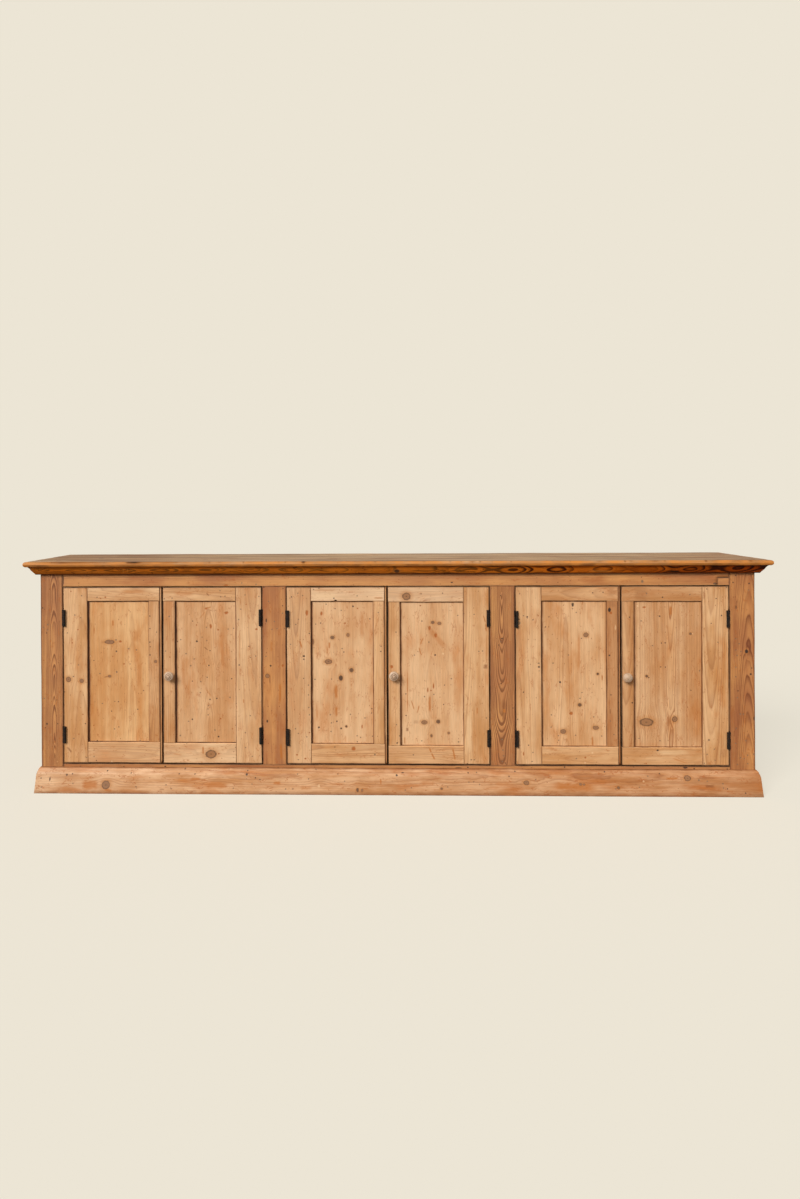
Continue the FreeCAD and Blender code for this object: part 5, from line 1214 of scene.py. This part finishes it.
# Doors: each a hinge stile, a meeting stile, two rails and a loose panel; the left doors also have a bead
doors = {
    "beadNose": 0.004, "beadStep": 0.0008, "beadDarker": 0.1,
    "tint": {                 # hinge stile, meeting stile, top rail, bottom rail
        1: (-0.05, -0.25, 0.05, 0.1), 2: (0.08, -0.2, 0.05, 0.15), 3: (0.10, -0.05, 0.25, -0.15),
        4: (-0.05, -0.1, 0.25, -0.2), 5: (0.05, -0.7, -0.28, -0.1), 6: (-0.05, -0.32, -0.35, -0.15),
    },
    "panelLog": {
        1: {"pith": 0.05, "depth": 0.05, "tilt": 0.010, "ring": 0.0038, "contrast": 0.26, "tint": -0.03},
        2: {"pith": 0.011, "depth": 0.030, "tilt": 0.028, "ring": 0.0036, "contrast": 0.60, "tint": -0.03,
            "sway": 0.001},
        3: {"pith": -0.03, "depth": 0.05, "tilt": 0.014, "ring": 0.0040, "contrast": 0.24, "tint": 0.05},
        4: {"pith": 0.0, "depth": 0.05, "tilt": 0.014, "ring": 0.0040, "contrast": 0.26, "tint": 0.05},
        5: {"pith": -0.03, "depth": 0.05, "tilt": 0.012, "ring": 0.0040, "contrast": 0.42, "tint": 0.0},
        6: {"pith": 0.013, "depth": 0.026, "tilt": -0.022, "ring": 0.0030, "contrast": 1.2, "tint": -0.04},
    },
    # Ageing of the hinge stile, the meeting stiles of left and right doors, the bead, the rails and the panel,
    # which is
    # tucked into a groove: dirt with painted shade beside the gaps and in the bead's quirk, painted shade in
    # the gaps, and wear with painted highlights
    "hinge": {"dirt": (1.2, 1.2, 0.5, 0.5), "dirtWide": (0.0022, 0.0024, 0.0020, 0.0020), "wander": 0.0006},
    "meetLeft": {"dirt": (0.55, 0.55, 0.4, 0.6), "dirtWide": (0.002, 0.002, 0.002, 0.0035),
                 "gap": (0, 0, 0.5, 1.6), "wander": 0.0005},
    "meetRight": {"dirt": (0.55, 0.55, 1.5, 0.4), "dirtWide": (0.002, 0.002, 0.0021, 0.0035),
                  "gap": (0, 0, 1.6, 0.5), "wander": 0.0005},
    "bead": {"dirt": (0.5, 0.5, 1.0, 0.8), "dirtWide": (0.002, 0.002, 0.0021, 0.0008),
             "gap": (1.6, 1.6, 0.8, 1.6), "arris": 0.0, "butt": 0.0, "wander": 0.0},
    "bottom": {"dirt": (0.6, 0.6, 1.2, 0.2), "dirtWide": (0.0016, 0.0016, 0.0022, 0.0016),
               "gap": (1.6, 1.6, 1.6, 0.5), "worn": (0.2, 0.2, 0.3, 0.9), "arris": 0.0017, "wander": 0.0007},
    "top": {"dirt": (0.6, 0.6, 0.3, 1.2), "dirtWide": (0.0016, 0.0016, 0.0016, 0.0024),
            "gap": (1.6, 1.6, 0.5, 1.6), "worn": (0.2, 0.2, 0.5, 0.3), "arris": 0.0017, "wander": 0.0007},
    # The panel's dirt is painted shade in its recess, widest on the left
    "panel": {"dirtWide": (0.0028, 0.0044, 0.0074, 0.0024), "tucked": 0.008, "worn": 0.0},
    "recessDirt": (0.75, 0.75, 0.75, 0.55),      # painted shade in the panel's recess, at the bottom, top, left and right
    # How strong the painted shade in the recess is on each door
    "recessDark": {1: 1.25, 2: 1.15, 3: 1.0, 4: 0.8, 5: 1.0, 6: 0.85},
}
for number in range(1, 7):
    name = f"door_{number}"
    leftHung = number % 2 == 1
    hingeTint, meetTint, topTint, bottomTint = doors["tint"][number]
    stiles = sorted(solidBoxes(name + "_stiles"), key=lambda corners: corners[0][0])
    rails = sorted(solidBoxes(name + "_rails"), key=lambda corners: corners[0][2])
    hingeLow, hingeHigh = stiles[0] if leftHung else stiles[-1]
    meetLow, meetHigh = (np.array(corner) for corner in (stiles[1] if leftHung else stiles[0]))
    meetLow[2], meetHigh[2] = rails[0][1][2], rails[1][0][2]
    pockets = hingePockets(hingeLow[0], 1) if leftHung else hingePockets(hingeHigh[0], -1)
    piece = newPiece()
    addBoard(piece, name + "_hinge_stile", hingeLow, hingeHigh, 2, 1, -1, {"tint": hingeTint}, pockets=pockets,
             gap=(1.6, 1.6, 1.6, 0.5) if leftHung else (1.6, 1.6, 0.5, 1.6), **doors["hinge"])
    addBoard(piece, name + "_meeting_stile", meetLow, meetHigh, 2, 1, -1, {"tint": meetTint},
             **doors["meetLeft" if leftHung else "meetRight"])
    if leftHung:
        beadLow, beadHigh = stiles[-1]

        # Rounds the bead's front
        def roundBead(points, plain):
            away = np.clip((plain[:, 0] - (beadLow[0] + beadHigh[0]) / 2) / doors["beadNose"], -1, 1)
            share = np.clip(1 - (plain[:, 1] - beadLow[1]) / 0.01, 0, 1)
            points[:, 1] += doors["beadNose"] * (1 - np.sqrt(1 - away ** 2)) * share
            return points

        addBoard(piece, name + "_bead", beadLow, beadHigh, 2, 1, -1, {"tint": meetTint - doors["beadDarker"]},
                 lines={0: cutLines(beadLow[0], beadHigh[0], doors["beadStep"], doors["beadStep"] / 2)},
                 shape=roundBead, **doors["bead"])
    finishPiece(name + "_stiles", piece, pineDoor, name)
    piece = newPiece()
    ends = (hingeHigh[0], meetHigh[0]) if leftHung else (meetLow[0], hingeLow[0])
    for end, (low, high), tint in (("bottom", rails[0], bottomTint), ("top", rails[1], topTint)):
        low, high = np.array(low), np.array(high)
        low[0], high[0] = ends
        addBoard(piece, f"{name}_{end}_rail", low, high, 0, 1, -1, {"tint": tint}, **doors[end])
    finishPiece(name + "_rails", piece, pineDoor, name)
    piece = newPiece()
    addBoard(piece, name + "_panel", *solidBoxes(name + "_panel")[0], 2, 1, -1, doors["panelLog"][number],
             dirt=[doors["recessDark"][number] * part for part in doors["recessDirt"]], **doors["panel"])
    finishPiece(name + "_panel", piece, pinePanelHoney if number == 1 else pinePanel, name)
print("doors made")

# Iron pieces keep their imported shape, and the latch tongues are whittled sticks
for name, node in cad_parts.items():
    if "hinge" in name or "bolt" in name:
        node.data.materials.clear()
        node.data.materials.append(iron)
    if "tongue" in name:
        low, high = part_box(name)
        tongue = newPiece()
        addBoard(tongue, name, low, high, 2, 1, 1, {"tint": -0.3}, arris=0.003, marks=False)
        finishPiece(name, tongue, pineInside, "latch_" + name[-1])
print("hinges, bolts and tongues made")

# Knobs: turned on the lathe with their spindles; two have a ringed face with a boss, and the third is plain
knobs = {
    "sides": 64,
    # how far out from the door's face, and the radius there, in mm, from the spindle's inner end
    "stem": [(-29.8, 4.2), (-29.0, 5.0), (-0.3, 5.0), (-0.2, 11.0), (0.3, 11.9), (1.4, 12.0), (2.5, 11.8),
             (3.0, 11.0), (4.2, 9.6), (6.0, 8.8), (9.0, 8.5), (12.0, 8.8), (14.0, 10.4), (16.0, 14.0),
             (17.4, 16.6), (19.0, 18.0), (21.0, 18.5), (23.0, 18.3), (24.8, 17.4)],
    "ringed": [(26.4, 15.8), (27.8, 13.8), (28.6, 12.2), (28.7, 11.4), (28.2, 11.0), (28.7, 10.6),
               (29.6, 9.6), (30.6, 7.8), (31.1, 6.3), (30.6, 5.7), (31.4, 5.2), (32.6, 4.9), (33.4, 4.0),
               (33.9, 2.2), (34.0, 0.6)],
    "plain": [(26.6, 15.9), (28.4, 13.8), (30.2, 11.0), (31.8, 8.0), (33.0, 5.2), (33.7, 2.8), (34.0, 0.6)],
    "finish": {2: "ringed", 4: "ringed", 6: "plain"},
    "tint": {2: 0.0, 4: 0.1, 6: -0.1},
    "ring": 0.0032, "contrast": 0.5, "heart": (0.021, 0.034),
    "grooves": ((0.0110, 0.0009), (0.0058, 0.0007)), "grooveDirt": 0.75,      # radius and width, and the painted shade in the grooves
    "faceFrom": 0.026,                          # the ringed face lies beyond this
    "footDirt": 0.6, "footWide": 0.002,         # darker where the knob meets the door
    "pip": (-0.0012, -0.0034, 0.0011),          # a dark pip on the plain knob: across, down and its radius
}
for number, kind in knobs["finish"].items():
    name = f"knob_{number}"
    low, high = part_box(name)
    centreX, centreZ = (low.x + high.x) / 2, (low.z + high.z) / 2
    outs, radii = np.array(knobs["stem"] + knobs[kind]).T / 1000
    sides, rounds = knobs["sides"], len(outs)
    here = np.arange(sides)
    after = (here + 1) % sides
    turns = 2 * math.pi * here / sides
    points = np.stack([centreX + np.outer(radii, np.cos(turns)), front - np.repeat(outs[:, None], sides, 1),
                       centreZ + np.outer(radii, np.sin(turns))], axis=2).reshape(-1, 3)
    points = np.concatenate([points, [(centreX, points[0, 1], centreZ), (centreX, points[-1, 1], centreZ)]])
    faces = [np.stack([start + here, start + after, start + sides + after, start + sides + here], axis=1)
             for start in range(0, (rounds - 1) * sides, sides)]
    pairs, last = here[::2], (rounds - 1) * sides
    faces.append(np.stack([np.full(len(pairs), rounds * sides), (pairs + 2) % sides, pairs + 1, pairs], axis=1))
    faces.append(np.stack([np.full(len(pairs), rounds * sides + 1), last + pairs, last + pairs + 1,
                           last + (pairs + 2) % sides], axis=1))
    out, fromAxis = front - points[:, 1], np.hypot(points[:, 0] - centreX, points[:, 2] - centreZ)
    grain = np.stack([out + number, points[:, 0] - centreX + knobs["heart"][0],
                      points[:, 2] - centreZ + knobs["heart"][1]], axis=1)
    grime = knobs["footDirt"] * np.exp(-(np.clip(out, 0, None) / knobs["footWide"]) ** 2)
    for place, width in knobs["grooves"] if kind == "ringed" else ():
        # Painted shade in the ringed face's grooves
        shadeInGroove = knobs["grooveDirt"] * np.exp(-((fromAxis - place) / width) ** 2)
        grime = np.maximum(grime, shadeInGroove * (out > knobs["faceFrom"]))
    across, down, size = knobs["pip"]
    pip = [(centreX + across, centreZ + down, size, size, 0.0, speckKinds["dark"])] if kind == "plain" else []
    turned = wholePiece(points, np.concatenate(faces), grain, grime,
                        [knobs["ring"], knobs["contrast"], knobs["tint"][number]], pip)
    finishPiece(name, turned, pineKnob, f"latch_{number}")
print("knobs made")
